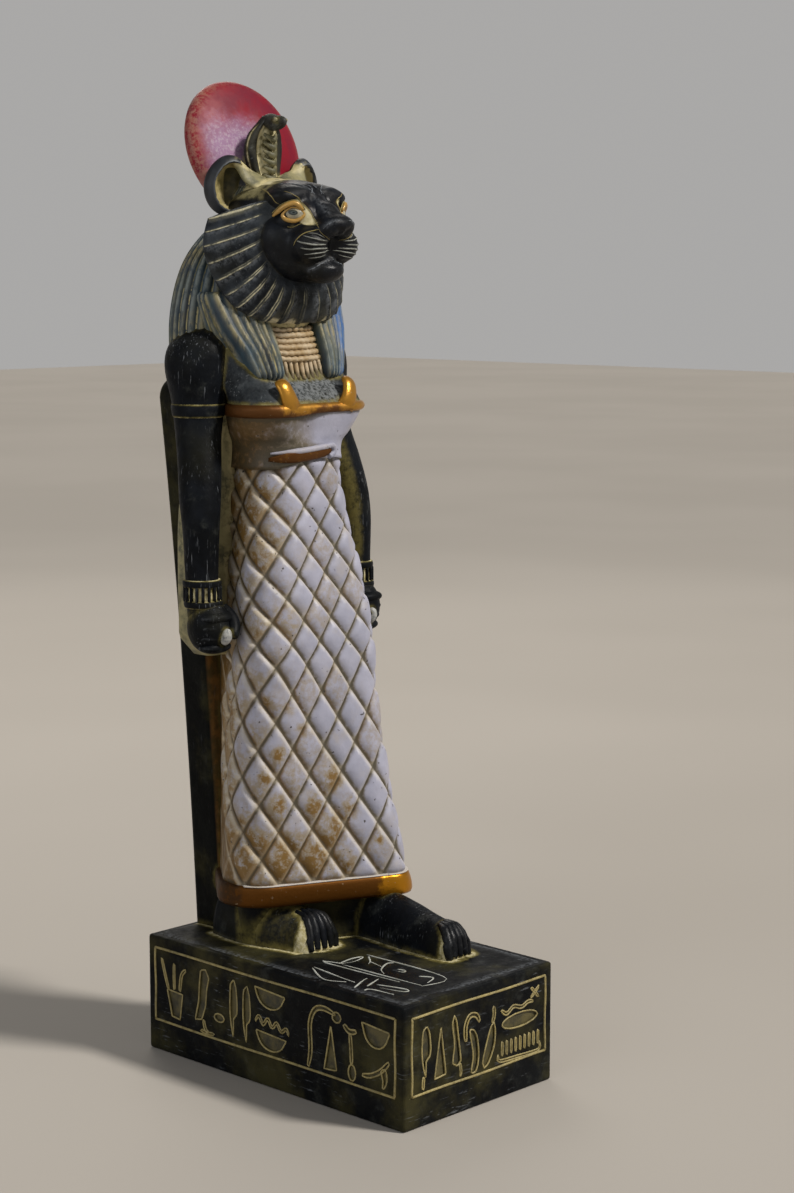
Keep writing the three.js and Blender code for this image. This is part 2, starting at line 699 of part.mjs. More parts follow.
function plinth() {
  const inset = PLINTH_EDGE;
  const [halfWide, halfLong] = [PLINTH_WIDTH / 2 - inset, PLINTH_LENGTH / 2 - inset];
  const outline = new THREE.Shape([[-halfWide, -halfLong], [halfWide, -halfLong], [halfWide, halfLong], [-halfWide, halfLong]]
    .map((p) => new THREE.Vector2(...p)));
  const block = new THREE.ExtrudeGeometry(outline, {
    depth: PLINTH_HEIGHT - 2 * inset, bevelSize: inset, bevelThickness: inset, bevelSegments: 1,
  });
  block.translate(0, 0, inset);
  const cuts = fuse([
    panel(PLINTH_WIDTH, PLINTH_LENGTH / 2, 0, frontRow),
    panel(PLINTH_LENGTH, PLINTH_WIDTH / 2, Math.PI / 2, sideRow),
    panel(PLINTH_WIDTH, PLINTH_LENGTH / 2, Math.PI, []),
    panel(PLINTH_LENGTH, PLINTH_WIDTH / 2, -Math.PI / 2, sideRow),
  ]);
  return solid(block).subtract(cuts);
}

const statueSolid = fuse([
  plinth(),
  pillar(),
  dress(),
  solid(bodyBand(hemFoot, hemTop, BAND_RISE + 0.6, 36, 1)),
  solid(bodyBand(waist - 1, 190, 0, 22, 7)),
  solid(bodyBand(waist - 0.4, waist + 2.2, BAND_RISE, 22, 1)),
  solid(bodyBand(chestBand - 1.2, chestBand + 1.6, BAND_RISE, 22, 1)),
  webs(),
  straps(),
  pair(armPiece(arm[0][0], arm.at(-1)[0], 0, 11, 9)),
  pair(armPiece(161.2, 165.2, 0.5, 11, 1)),
  bracelet(),
  fist(),
  foot(rightFoot),
  foot(leftFoot),
  toes(rightFoot, 1),
  toes(leftFoot, -1),
  wigMantle(),
  lappetPiece(),
  collar(),
  ruff(),
  head(),
  pair(eyeRims()),
  ears(),
  sunDisc(),
  cobra(),
]);

// The casting is solid right through: a pocket sealed where its forms meet is left out with its shell.
function geometryOf(manifold) {
  const [casting] = manifold.decompose().sort((a, b) => b.volume() - a.volume());
  const mesh = casting.getMesh();
  const geometry = new THREE.BufferGeometry();
  geometry.setAttribute("position", new THREE.BufferAttribute(mesh.vertProperties, mesh.numProp));
  geometry.setIndex(new THREE.BufferAttribute(mesh.triVerts, 1));
  geometry.computeVertexNormals();
  return geometry;
}

const castStone = new THREE.MeshStandardMaterial({ color: 0x23262b, roughness: 0.62, metalness: 0 });
const statue = new THREE.Mesh(geometryOf(statueSolid), castStone);
statue.name = "statue";

const group = new THREE.Group();
group.name = "sekhmet statue";
group.add(statue);

export default group;
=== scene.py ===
# %% [markdown]
# # A cast stone statue of a lioness-headed goddess
# The real object is a tabletop figure, cast in one piece and painted by hand: a woman in a quilted
# sheath dress with the head of a lioness, a sun disc and a cobra on her crown, standing against a
# back pillar on an inscribed plinth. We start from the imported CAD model, which holds every main size,
# and build the painted surface over it.

# %% Load the frame
import math
import bpy
import numpy as np
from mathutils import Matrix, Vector
from mathutils.bvhtree import BVHTree


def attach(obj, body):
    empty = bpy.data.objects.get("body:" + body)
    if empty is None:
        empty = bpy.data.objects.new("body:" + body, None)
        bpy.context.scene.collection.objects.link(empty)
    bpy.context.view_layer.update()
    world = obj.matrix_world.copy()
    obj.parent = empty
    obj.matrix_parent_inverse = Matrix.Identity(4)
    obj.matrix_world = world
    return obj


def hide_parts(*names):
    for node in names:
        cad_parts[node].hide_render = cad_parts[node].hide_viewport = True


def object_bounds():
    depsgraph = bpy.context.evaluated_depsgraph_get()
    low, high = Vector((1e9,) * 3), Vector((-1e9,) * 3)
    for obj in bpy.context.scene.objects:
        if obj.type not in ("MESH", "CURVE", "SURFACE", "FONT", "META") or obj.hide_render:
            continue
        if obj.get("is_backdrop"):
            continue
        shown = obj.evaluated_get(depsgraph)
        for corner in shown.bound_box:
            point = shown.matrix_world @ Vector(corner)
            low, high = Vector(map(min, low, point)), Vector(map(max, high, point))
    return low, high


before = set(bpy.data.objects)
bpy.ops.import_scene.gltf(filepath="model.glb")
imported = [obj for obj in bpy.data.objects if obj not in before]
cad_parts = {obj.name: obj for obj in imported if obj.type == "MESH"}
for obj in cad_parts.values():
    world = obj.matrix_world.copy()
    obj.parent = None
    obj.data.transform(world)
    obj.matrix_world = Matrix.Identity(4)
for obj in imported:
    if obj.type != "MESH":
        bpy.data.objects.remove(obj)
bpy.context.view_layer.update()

# %% [markdown]
# ## Places
# The maker's drawings give every place as sideways, out from the pillar's back face, and up from the
# plinth's top, in millimetres. One small function turns such a place into Blender's metres. Profiles are
# rows of numbers that are read smoothly at any height, just as a carver works from templates.

# %% Places and profiles
MM = 0.001
WELD = 2e-6  # points closer than this, in metres, are one
BACK_FACE = 54.0
FORWARD = (0, -1, 0)  # the way the figure looks
PLINTH_WIDTH, PLINTH_LENGTH, PLINTH_HEIGHT = 64.0, 110.0, 36.5
TAU = 2 * math.pi


def place(x, out, up):
    """Blender's metres for a place on the maker's drawing."""
    x, out, up = np.broadcast_arrays(np.asarray(x, float), out, up)
    return np.stack([x, BACK_FACE - out, PLINTH_HEIGHT + up], -1) * MM


def read(rows, height):
    """The other columns of a profile at each height, joined smoothly from row to row."""
    rows = np.asarray(rows, float)
    h = np.atleast_1d(np.asarray(height, float))
    last = len(rows) - 2
    k = np.clip(np.searchsorted(rows[:, 0], h, side="right") - 1, 0, last)
    low, high = rows[k], rows[k + 1]
    before, after = rows[np.maximum(k - 1, 0)], rows[np.minimum(k + 2, last + 1)]
    span = high[:, :1] - low[:, :1]
    t = np.clip((h[:, None] - low[:, :1]) / span, 0, 1)
    slope_low = (high[:, 1:] - before[:, 1:]) / (high[:, :1] - before[:, :1]) * span
    slope_high = (after[:, 1:] - low[:, 1:]) / (after[:, :1] - low[:, :1]) * span
    t2, t3 = t * t, t * t * t
    value = (low[:, 1:] * (2 * t3 - 3 * t2 + 1) + slope_low * (t3 - 2 * t2 + t)
             + high[:, 1:] * (3 * t2 - 2 * t3) + slope_high * (t3 - t2))
    return value.T


def ease(value, low, high):
    """0 up to low, 1 from high on, and a smooth slope between them."""
    t = np.clip((np.asarray(value, float) - low) / (high - low), 0, 1)
    return t * t * (3 - 2 * t)


def bump_at(distance, width):
    """1 at no distance, fading away over about twice the width."""
    return np.exp(-(np.asarray(distance, float) / width) ** 2)


print("the top of the plinth is", place(0, 0, 0)[2], "m up")

# %% [markdown]
# ## Clay to work with
# Almost every form here is a closed ball of clay pushed into shape. A UV sphere is added, each of its
# points is known by its turn round the form (from the front towards the figure's left) and its level from
# bottom to top, and a function says where that point goes. Subdividing and sculpting by hand would give
# the same forms, but functions keep them on the drawing's sizes.

# %% Points and notes
made = {}


def deselect():
    if bpy.context.object and bpy.context.object.mode != "OBJECT":
        bpy.ops.object.mode_set(mode="OBJECT")
    bpy.ops.object.select_all(action="DESELECT")


def points_of(piece):
    spots = np.empty(len(piece.data.vertices) * 3)
    piece.data.vertices.foreach_get("co", spots)
    return spots.reshape(-1, 3)


def set_points(piece, spots):
    piece.data.vertices.foreach_set("co", np.asarray(spots, float).ravel())
    piece.data.update()


def note(piece, name, values):
    """Write a number on every point of a piece, for the paint to read."""
    layer = piece.data.attributes.get(name) or piece.data.attributes.new(name, "FLOAT", "POINT")
    values = np.broadcast_to(np.asarray(values, float), len(piece.data.vertices))
    layer.data.foreach_set("value", values.astype(np.float32))


def noted(piece, name):
    values = np.zeros(len(piece.data.vertices), np.float32)
    layer = piece.data.attributes.get(name)
    if layer:
        layer.data.foreach_get("value", values)
    return values.astype(float)


print("points can be read, moved and noted")


# %% Finishing and joining
def select_only(piece):
    deselect()
    piece.select_set(True)
    bpy.context.view_layer.objects.active = piece


def finish_piece(piece, name, material):
    """Weld and smooth a piece, give it its paint, and keep it under its name."""
    select_only(piece)
    bpy.ops.object.mode_set(mode="EDIT")
    bpy.ops.mesh.select_all(action="SELECT")
    bpy.ops.mesh.remove_doubles(threshold=WELD)
    bpy.ops.mesh.normals_make_consistent(inside=False)
    bpy.ops.object.mode_set(mode="OBJECT")
    bpy.ops.object.shade_smooth()
    piece.name = piece.data.name = name
    piece.data.materials.clear()
    piece.data.materials.append(material)
    made[name] = piece
    return piece


def joined(pieces):
    """One mesh of several, as lumps of clay are pressed together."""
    deselect()
    for piece in pieces:
        piece.select_set(True)
    bpy.context.view_layer.objects.active = pieces[0]
    if len(pieces) > 1:
        bpy.ops.object.join()
    return bpy.context.object


def both_sides(piece):
    """The piece and its mirror image, in one mesh."""
    select_only(piece)
    bpy.ops.object.duplicate()
    twin = bpy.context.object
    spots = points_of(twin)
    spots[:, 0] *= -1
    set_points(twin, spots)
    select_only(twin)
    bpy.ops.object.mode_set(mode="EDIT")
    bpy.ops.mesh.select_all(action="SELECT")
    bpy.ops.mesh.flip_normals()
    bpy.ops.object.mode_set(mode="OBJECT")
    return joined([piece, twin])


print("pieces can be finished, joined and mirrored")


# %% Balls and eggs
def clay(around, rows):
    """A closed ball: the piece, then turn 0..1, level 0..1 and spread 0 or 1 of each point."""
    deselect()
    bpy.ops.mesh.primitive_uv_sphere_add(segments=around, ring_count=rows + 1, radius=1)
    piece = bpy.context.object
    spots = points_of(piece)
    turn = np.round(np.arctan2(spots[:, 0], -spots[:, 1]) / TAU * around) % around / around
    row = np.round(np.arccos(np.clip(-spots[:, 2], -1, 1)) / math.pi * (rows + 1))
    level = np.clip((row - 1) / (rows - 1), 0, 1)
    spread = ((row > 0) & (row < rows + 1)).astype(float)
    return piece, turn, level, spread


def lump(center, radii, around=24, rows=16, splay=0.0, nod=0.0):
    """A smooth egg at a place, turned outward by splay and forward by nod (radians)."""
    deselect()
    bpy.ops.mesh.primitive_uv_sphere_add(segments=around, ring_count=rows, radius=1)
    piece = bpy.context.object
    p = points_of(piece)
    q = np.stack([p[:, 0] * radii[0], -p[:, 1] * radii[1], p[:, 2] * radii[2]])
    c, s = math.cos(nod), math.sin(nod)
    q[1], q[2] = q[1] * c + q[2] * s, -q[1] * s + q[2] * c
    c, s = math.cos(splay), math.sin(splay)
    q[0], q[1] = q[0] * c + q[1] * s, -q[0] * s + q[1] * c
    set_points(piece, place(center[0] + q[0], center[1] + q[1], center[2] + q[2]))
    return piece


print("balls and eggs ready")


# %% Paths and rolls
def smooth_path(points, count, closed=False):
    """A path of count points through the given ones, evenly spaced (Catmull-Rom)."""
    p = np.asarray(points, float)
    n = len(p)
    legs = n if closed else n - 1
    t = np.linspace(0, legs, legs * 12 + 1)
    k = np.minimum(t.astype(int), legs - 1)
    u = (t - k)[:, None]
    beside = [k + i for i in (-1, 0, 1, 2)]
    a, b, c, d = (p[i % n] if closed else p[np.clip(i, 0, n - 1)] for i in beside)
    fine = 0.5 * (2 * b + (c - a) * u + (2 * a - 5 * b + 4 * c - d) * u ** 2
                  + (3 * b - a - 3 * c + d) * u ** 3)
    walked = np.r_[0, np.cumsum(np.linalg.norm(np.diff(fine, axis=0), axis=1))]
    at = np.linspace(0, walked[-1], count + 1 if closed else count)
    at = at[:-1] if closed else at
    return np.stack([np.interp(at, walked, fine[:, i]) for i in range(fine.shape[1])], -1)


def roll(path, radius, closed=False, sides=8, facing=(0, 0, 1), flat=1.0):
    """A roll of clay laid along a path (metres). radius in mm, along the facing way times flat."""
    path = np.asarray(path, float)
    n = len(path)
    deselect()
    if closed:
        bpy.ops.mesh.primitive_torus_add(major_segments=n, minor_segments=sides, major_radius=1,
                                         minor_radius=0.25)
        piece = bpy.context.object
        s = points_of(piece)
        k = (np.round(np.arctan2(s[:, 1], s[:, 0]) / TAU * n) % n).astype(int)
        angle = np.arctan2(s[:, 2], np.hypot(s[:, 0], s[:, 1]) - 1)
        spread = np.ones(len(s))
        tangent = np.roll(path, -1, 0) - np.roll(path, 1, 0)
    else:
        piece, turn, level, spread = clay(sides, n)
        k = np.round(level * (n - 1)).astype(int)
        angle = turn * TAU
        tangent = np.gradient(path, axis=0)
    tangent /= np.linalg.norm(tangent, axis=1)[:, None] + 1e-12
    facing = np.broadcast_to(np.asarray(facing, float), path.shape)
    side = np.cross(tangent, facing)
    side /= np.linalg.norm(side, axis=1)[:, None] + 1e-12
    lift = np.cross(side, tangent)
    r = np.broadcast_to(np.asarray(radius, float), (n,))[k] * MM * spread
    flat = np.broadcast_to(np.asarray(flat, float), (n,))[k]
    round_side, round_lift = (r * np.cos(angle))[:, None], (r * flat * np.sin(angle))[:, None]
    set_points(piece, path[k] + side[k] * round_side + lift[k] * round_lift)
    return piece


print("paths and rolls ready")

# %% [markdown]
# ## Camera, floor and light
# The photograph looks down a little on the figure's right front corner. The camera's place and turn were
# solved from the corners of the plinth, so the render can be laid over the photograph. The floor is
# plain and pale, and the light is a soft studio set: a large key from the viewer's upper right, as the
# statue's own shadows show, a weak fill and an even pale surround.

# %% Camera
PHOTO_HEIGHT, FOCAL_LENGTH = 1193, 2400  # in pixels of the photograph
FILM_HEIGHT = 36.0  # mm
yaw, pitch = 0.805, -0.138
ahead = Vector((math.sin(yaw) * math.cos(pitch), math.cos(yaw) * math.cos(pitch), math.sin(pitch)))
lens = bpy.data.cameras.new("camera")
lens.sensor_fit, lens.sensor_height = "VERTICAL", FILM_HEIGHT
lens.lens = FOCAL_LENGTH * FILM_HEIGHT / PHOTO_HEIGHT
lens.clip_start, lens.clip_end = 0.05, 50
camera = bpy.data.objects.new("camera", lens)
bpy.context.scene.collection.objects.link(camera)
camera.location = (-0.50067, -0.50297, 0.24287)
camera.rotation_mode = "QUATERNION"
camera.rotation_quaternion = ahead.to_track_quat("-Z", "Y")
bpy.context.scene.camera = camera
print("the lens is", round(lens.lens, 2), "mm")

# %% Light
scene = bpy.context.scene
scene.view_settings.view_transform = "Standard"
world = bpy.data.worlds.new("studio")
scene.world = world
world.use_nodes = True
sky, joins = world.node_tree.nodes, world.node_tree.links
split = sky.new("ShaderNodeSeparateXYZ")
joins.new(sky.new("ShaderNodeTexCoord").outputs["Generated"], split.inputs[0])
fade = sky.new("ShaderNodeMapRange")
fade.interpolation_type = "SMOOTHSTEP"
for name, number in (("From Min", 0.12), ("From Max", 0.55), ("To Min", 0.40), ("To Max", 0.17)):
    fade.inputs[name].default_value = number
joins.new(split.outputs["Z"], fade.inputs["Value"])
surround = sky["Background"]
surround.inputs["Color"].default_value = (1.0, 0.985, 0.97, 1)
joins.new(fade.outputs["Result"], surround.inputs["Strength"])


def soft_box(name, where, aim, size, watts, colour):
    lamp = bpy.data.lights.new(name, "AREA")
    lamp.shape, lamp.size, lamp.energy, lamp.color = "DISK", size, watts, colour
    box = bpy.data.objects.new(name, lamp)
    scene.collection.objects.link(box)
    box.location = where
    box.rotation_mode = "QUATERNION"
    box.rotation_quaternion = (Vector(aim) - Vector(where)).to_track_quat("-Z", "Y")


key = bpy.data.lights.new("key", "SUN")
key.energy, key.angle, key.color = 3.1, math.radians(9), (1.0, 0.96, 0.90)
key = bpy.data.objects.new("key", key)
scene.collection.objects.link(key)
key.rotation_mode = "QUATERNION"
key.rotation_quaternion = Vector((-0.30, 0.64, -0.70)).to_track_quat("-Z", "Y")
soft_box("fill", (-0.95, -0.10, 0.55), (0, 0, 0.15), 0.8, 2.2, (0.90, 0.94, 1.0))
soft_box("rim", (0.5, 0.75, 0.8), (0, 0, 0.2), 0.6, 2.5, (1.0, 0.95, 0.88))
print("a large soft key and two soft boxes")

# %% [markdown]
# ## Paint
# The finishes are painted as on the real casting: a ground colour, a thin wash of yellow ochre and
# cream that settles in the hollows, and a dry brush that catches the ridges. The forms carry two notes
# on every point, "wash" for the hollows and "rub" for the ridges, and clouds of noise in Object
# coordinates break them up, so that the paint doesn't slide in other views. On some forms these notes
# also carry painted shade on the side away from the light and painted highlights on the side facing it.

# %% A recipe for paint
def paint(code):
    """The light values that Blender wants for a six-figure colour code."""
    channel = [int(code[i:i + 2], 16) / 255 for i in (0, 2, 4)]
    return tuple(c / 12.92 if c <= 0.04045 else ((c + 0.055) / 1.055) ** 2.4 for c in channel) + (1.0,)


class Recipe:
    def __init__(self, name):
        self.material = bpy.data.materials.new(name)
        self.material.use_nodes = True
        self.nodes, self.links = self.material.node_tree.nodes, self.material.node_tree.links
        self.shader = self.nodes["Principled BSDF"]
        self.where = self.nodes.new("ShaderNodeTexCoord").outputs["Object"]

    def give(self, socket, value):
        if isinstance(value, bpy.types.NodeSocket):
            self.links.new(value, socket)
        else:
            socket.default_value = value

    def cloud(self, size, detail=4.0, rough=0.6, stretch=(1, 1, 1), shift=(0, 0, 0)):
        """Noise whose lumps are about size mm across, longer where stretch is larger."""
        mapping = self.nodes.new("ShaderNodeMapping")
        mapping.inputs["Location"].default_value = shift
        mapping.inputs["Scale"].default_value = [1 / s for s in stretch]
        self.links.new(self.where, mapping.inputs["Vector"])
        noise = self.nodes.new("ShaderNodeTexNoise")
        self.links.new(mapping.outputs["Vector"], noise.inputs["Vector"])
        noise.inputs["Scale"].default_value = 1 / (size * MM)
        noise.inputs["Detail"].default_value = detail
        noise.inputs["Roughness"].default_value = rough
        return noise.outputs["Fac"]

    def note(self, name):
        attribute = self.nodes.new("ShaderNodeAttribute")
        attribute.attribute_name = name
        return attribute.outputs["Fac"]

    def sum(self, kind, a, b, clamp=False):
        node = self.nodes.new("ShaderNodeMath")
        node.operation, node.use_clamp = kind, clamp
        self.give(node.inputs[0], a)
        self.give(node.inputs[1], b)
        return node.outputs[0]

    def times(self, a, b, clamp=False):
        return self.sum("MULTIPLY", a, b, clamp)

    def between(self, value, low, high, least=0.0, most=1.0):
        node = self.nodes.new("ShaderNodeMapRange")
        node.interpolation_type = "SMOOTHSTEP"
        self.give(node.inputs["Value"], value)
        for name, number in (("From Min", low), ("From Max", high), ("To Min", least), ("To Max", most)):
            node.inputs[name].default_value = number
        return node.outputs["Result"]

    def patches(self, low, high, size, detail=4.0, rough=0.6, least=0.0, most=1.0, **how):
        """Clouds made crisp: least where they are under low, most where they are over high."""
        return self.between(self.cloud(size, detail, rough, **how), low, high, least, most)

    def held(self, name, *patches, **how):
        """A note broken up by patches, as paint that stays here and wears off there."""
        return self.times(self.note(name), self.patches(*patches, **how), True)

    def over(self, share, under, top):
        node = self.nodes.new("ShaderNodeMix")
        node.data_type = "RGBA"
        self.give(node.inputs["Factor"], share)
        self.give(node.inputs["A"], paint(under) if isinstance(under, str) else under)
        self.give(node.inputs["B"], paint(top) if isinstance(top, str) else top)
        return node.outputs["Result"]

    def done(self, colour, rough, relief=None, depth=0.15, **shader):
        self.give(self.shader.inputs["Base Color"], colour)
        self.give(self.shader.inputs["Roughness"], rough)
        if relief is not None:
            bump = self.nodes.new("ShaderNodeBump")
            bump.inputs["Strength"].default_value = 1.0
            bump.inputs["Distance"].default_value = depth * MM
            self.give(bump.inputs["Height"], relief)
            self.links.new(bump.outputs["Normal"], self.shader.inputs["Normal"])
        for name, value in shader.items():
            self.shader.inputs[name.replace("_", " ")].default_value = value
        return self.material


print("recipe ready")

# %% [markdown]
# ### Black stone
# The skin, mane, pillar and plinth are one near-black stone colour. Olive dust lies on it in soft
# patches, cream wash fills its hollows, and its raised places are brushed grey and scratched. One recipe
# with a few amounts gives each of its variants.

# %% Black stone
def black_stone(name, olive=0.3, dusty=0.3, scratches=0.3, wash="b3a878", deep="6f6638", ground="090b0e",
                raised="13161b", grey="8f949a", gloss=0.0, grain=(1, 1, 6), shine=0.1, dust="6d7069"):
    r = Recipe(name)
    colour = r.over(r.patches(0.35, 0.68, 9, 5), ground, raised)
    colour = r.over(r.times(r.patches(0.46, 0.68, 26, 6, 0.62, shift=(3, 1, 2)), olive), colour, "57522f")
    colour = r.over(r.times(r.patches(0.54, 0.74, 7, 6, 0.7, shift=(1, 5, 2)), dusty), colour, dust)
    brown = r.over(r.patches(0.4, 0.6, 6, 5), "6e4d28", "4b3c22")
    colour = r.over(r.between(r.note("stain"), 0.1, 1.0, 0, 0.9), colour, brown)
    fine = r.cloud(1.1, 3, 0.7)
    lines = r.patches(0.60, 0.70, 0.8, 3, 0.65, stretch=grain)
    scratched = r.times(lines, r.patches(0.42, 0.66, 14, 2, shift=(7, 7, 1)))
    colour = r.over(r.times(scratched, scratches), colour, grey)
    rub = r.times(r.note("rub"), r.between(fine, 0.36, 0.6), True)
    colour = r.over(r.times(rub, 0.85), colour, grey)
    settle = r.held("wash", 0.25, 0.62, 3.2, 5, 0.7, 0.35, 1.3, shift=(2, 9, 4))
    colour = r.over(r.between(settle, 0.06, 0.55, 0, 0.85), colour, deep)
    cream = r.over(r.between(fine, 0.4, 0.6), wash, "d2c9a4")
    colour = r.over(r.between(settle, 0.45, 1.0, 0, 0.95), colour, cream)
    rough = r.patches(0.3, 0.7, 5, 4, least=0.40, most=0.60, shift=(4, 4, 4))
    rough = r.sum("ADD", rough, r.times(settle, 0.2), True)
    rough = r.sum("SUBTRACT", rough, gloss)
    relief = r.sum("ADD", r.cloud(2.6, 6, 0.62), r.times(lines, -0.12))
    return r.done(colour, rough, relief, 0.2, Specular_IOR_Level=shine)


skin_stone = black_stone("black stone, brushed", olive=0.07, dusty=0.16, shine=0.07, scratches=0.6,
                         grain=(0.7, 0.7, 8))
face_stone = black_stone("black stone, worn smooth", olive=0.05, dusty=0.08, scratches=0.1, wash="c9bd92",
                         deep="857d58", ground="06080d", raised="0d1119", gloss=0.08, grain=(1, 1, 1),
                         shine=0.2)
mane_stone = black_stone("black stone of the mane", olive=0.08, dusty=0.4, dust="74787c", scratches=0.2,
                         wash="b5b09a", deep="56554a", ground="171a1e", raised="383d43", grain=(1, 1, 1))
plinth_stone = black_stone("black stone, dusty", olive=0.42, dusty=0.12, ground="090a0c", raised="111315",
                           grain=(8, 8, 1), shine=0.07)
pillar_stone = black_stone("black stone of the pillar", olive=0.35, dusty=0.06, scratches=0.1,
                           ground="060707", raised="0d0f0e", grain=(1, 1, 7), shine=0.06)
chest_stone = black_stone("black stone, speckled", olive=0.1, dusty=0.5, dust="65696c", scratches=0.8,
                          ground="181b1e", raised="34393d", grey="898d8f", grain=(1.5, 1, 1))
cobra_stone = black_stone("black stone of the cobra", olive=0.9, dusty=0.8, scratches=0.4, wash="c9bd92",
                          deep="665f3a", ground="1e1f1e", raised="403f38", grain=(1, 1, 2))
print("seven black stones")

# %% [markdown]
# ### Linen white
# The dress is a cold lilac white. Tan paint was washed over it and wiped off, so it stays in the seams,
# lies in soft brown stains, and sits in the tiny pits that air bubbles left in the casting. On the
# diamonds the brown also lies as painted shade on the slopes that face away from the light, darkest at
# the bottoms of the seams, and the cream on the edges that face the light is a painted highlight.

# %% Linen white
def linen_white(name, least=0.25, most=1.35):
    r = Recipe(name)
    colour = r.over(r.patches(0.35, 0.7, 12, 4), "a9a9ba", "9798a9")
    colour = r.over(r.times(r.patches(0.50, 0.74, 9, 5, 0.6, shift=(5, 2, 8)), 0.45), colour, "ab9f8e")
    stain = r.held("stain", 0.30, 0.66, 2.2, 6, 0.72, least, most, shift=(6, 1, 3))
    colour = r.over(r.between(stain, 0.05, 0.6, 0, 0.75), colour, "8f7d55")
    colour = r.over(r.between(stain, 0.5, 1.05, 0, 0.9), colour, "785717")
    # tan and dark brown where the note wash is high: grime in the seams and hollows, and on the dress also
    # painted shade on the slopes away from the light; the darkest tone is grime deepened by painted shade at the
    # seams' bottoms
    settle = r.held("wash", 0.22, 0.6, 2.4, 4, 0.65, 0.55, 1.15)
    tone = r.over(r.between(r.note("stain"), 0.12, 0.5), "5b513e", "61461a")
    colour = r.over(r.between(settle, 0.08, 0.85, 0, 0.95), colour, tone)
    colour = r.over(r.between(settle, 0.7, 1.1, 0, 0.8), colour, "3d3829")
    # cream where the note rub is high: on the dress a painted highlight along the edges that face the light
    colour = r.over(r.times(r.note("rub"), 0.8, True), colour, "d9cfb8")
    pits = r.patches(0.735, 0.76, 1.3, 1, 0.5, shift=(3, 3, 3))
    colour = r.over(r.times(pits, 0.85), colour, "3b352e")
    relief = r.sum("ADD", r.cloud(2.2, 5, 0.6), r.times(pits, -1.4))
    rough = r.patches(0.3, 0.7, 6, 3, least=0.42, most=0.6)
    return r.done(colour, rough, relief, 0.16, Specular_IOR_Level=0.45)


linen = linen_white("quilted linen white")
smooth_linen = linen_white("smooth linen white", least=0.75, most=1.1)
print("linen white")

# %% [markdown]
# ### Gilding
# The straps, bands and eyelids are gold paint over a red-brown ground. It is bright where it was rubbed
# and where a painted highlight lies, and shows the brown where it is thin, and the hem is mostly bronze
# with one bright corner, which is a painted highlight.

# %% Gilding
def gilding(name, bright="b8842f", thin="5f3a14", wear=0.5, metal=0.7):
    r = Recipe(name)
    worn = r.sum("ADD", r.cloud(3.5, 6, 0.7), r.times(r.note("stain"), 0.5))
    # the note rub brightens the gold; on the hem and the chest band it is a painted highlight
    worn = r.sum("SUBTRACT", worn, r.times(r.note("rub"), 0.25))
    colour = r.over(r.between(worn, 0.62 - 0.3 * wear, 0.95 - 0.35 * wear), bright, thin)
    colour = r.over(r.times(r.held("wash", 0.3, 0.6, 2, 4), 0.8), colour, "3a2712")
    flecks = r.patches(0.66, 0.72, 1.3, 3, 0.7, shift=(4, 8, 1))
    colour = r.over(r.times(flecks, 0.5), colour, "b8a58a")
    rough = r.between(worn, 0.35, 0.8, 0.30, 0.55)
    return r.done(colour, rough, r.cloud(1.8, 4), 0.12, Metallic=metal)


gold = gilding("gold paint", wear=0.35)
hem_gold = gilding("bronze gold paint", bright="b57a14", thin="5c3604", wear=0.7, metal=0.8)
lid_gold = gilding("gold paint of the lids", bright="b28c49", thin="76501b", wear=0.4, metal=0.15)
print("three gold paints")

# %% [markdown]
# ### Sun red, wig blue and the small finishes
# The disc is crimson, dusted with dull pink towards its foot and scuffed to cream along its edge, with a
# painted highlight on its face above the middle. The strands of the wig are blue and teal in the
# hollows and cream on the ridges. The collar is tan, the ears are cream inside, and the eyes are
# grey-white glass-smooth paint with a dark iris.

# %% Sun red
r = Recipe("sun red")
colour = r.over(r.patches(0.35, 0.7, 10, 4), "86041e", "6f0a26")
uneven = r.times(r.sum("SUBTRACT", r.cloud(4, 6, 0.75), 0.5), 0.75)
haze = r.sum("ADD", r.times(r.note("stain"), 0.9), uneven)
colour = r.over(r.between(haze, 0.2, 0.95, 0, 0.85), colour, "97789a")
specks = r.patches(0.44, 0.66, 1.2, 5, 0.75, shift=(1, 2, 7))
chalk = r.times(r.between(r.note("stain"), 0.35, 1), specks, True)
colour = r.over(r.times(chalk, 0.5), colour, "bfb4bb")
# tan scuffs along the edge and near the foot, and a painted highlight above the middle of the face
scuff_and_highlight = r.held("rub", 0.40, 0.56, 1.6, 6, 0.8, shift=(8, 2, 5))
colour = r.over(r.times(scuff_and_highlight, 0.45), colour, "ab8f78")
colour = r.over(r.between(r.held("wash", 0.3, 0.55, 2.4, 5, 0.7), 0.2, 0.8), colour, "c8b68a")
rough = r.patches(0.3, 0.7, 5, 4, least=0.42, most=0.55)
sun_red = r.done(colour, rough, r.cloud(2, 5), 0.06, Specular_IOR_Level=0.22)
print("sun red")

# %% Wig blue
r = Recipe("wig blue")
streak = r.cloud(9, 4, 0.6, stretch=(1, 1, 4))
colour = r.over(r.between(streak, 0.36, 0.64), "10202f", "26404d")
colour = r.over(r.between(r.note("stain"), 0.2, 0.9), colour, "1f5794")
colour = r.over(r.times(r.patches(0.45, 0.65, 12, 5, shift=(3, 8, 1)), 0.55), colour, "3f4229")
rub = r.held("rub", 0.38, 0.58, 1.5, 5, 0.7, 0.25, 1.1, stretch=(1, 1, 3))
colour = r.over(r.times(rub, 0.8), colour, r.over(r.patches(0.4, 0.6, 14, 3), "7f8783", "a5986a"))
cream = r.over(r.patches(0.4, 0.6, 8, 2), "6d6638", "b8ab78")
settle = r.held("wash", 0.28, 0.55, 2.6, 5, 0.7)
colour = r.over(r.between(settle, 0.25, 0.9, 0, 0.9), colour, cream)
wig_blue = r.done(colour, r.between(streak, 0.3, 0.7, 0.45, 0.62), r.cloud(1.8, 5), 0.16)
print("wig blue")


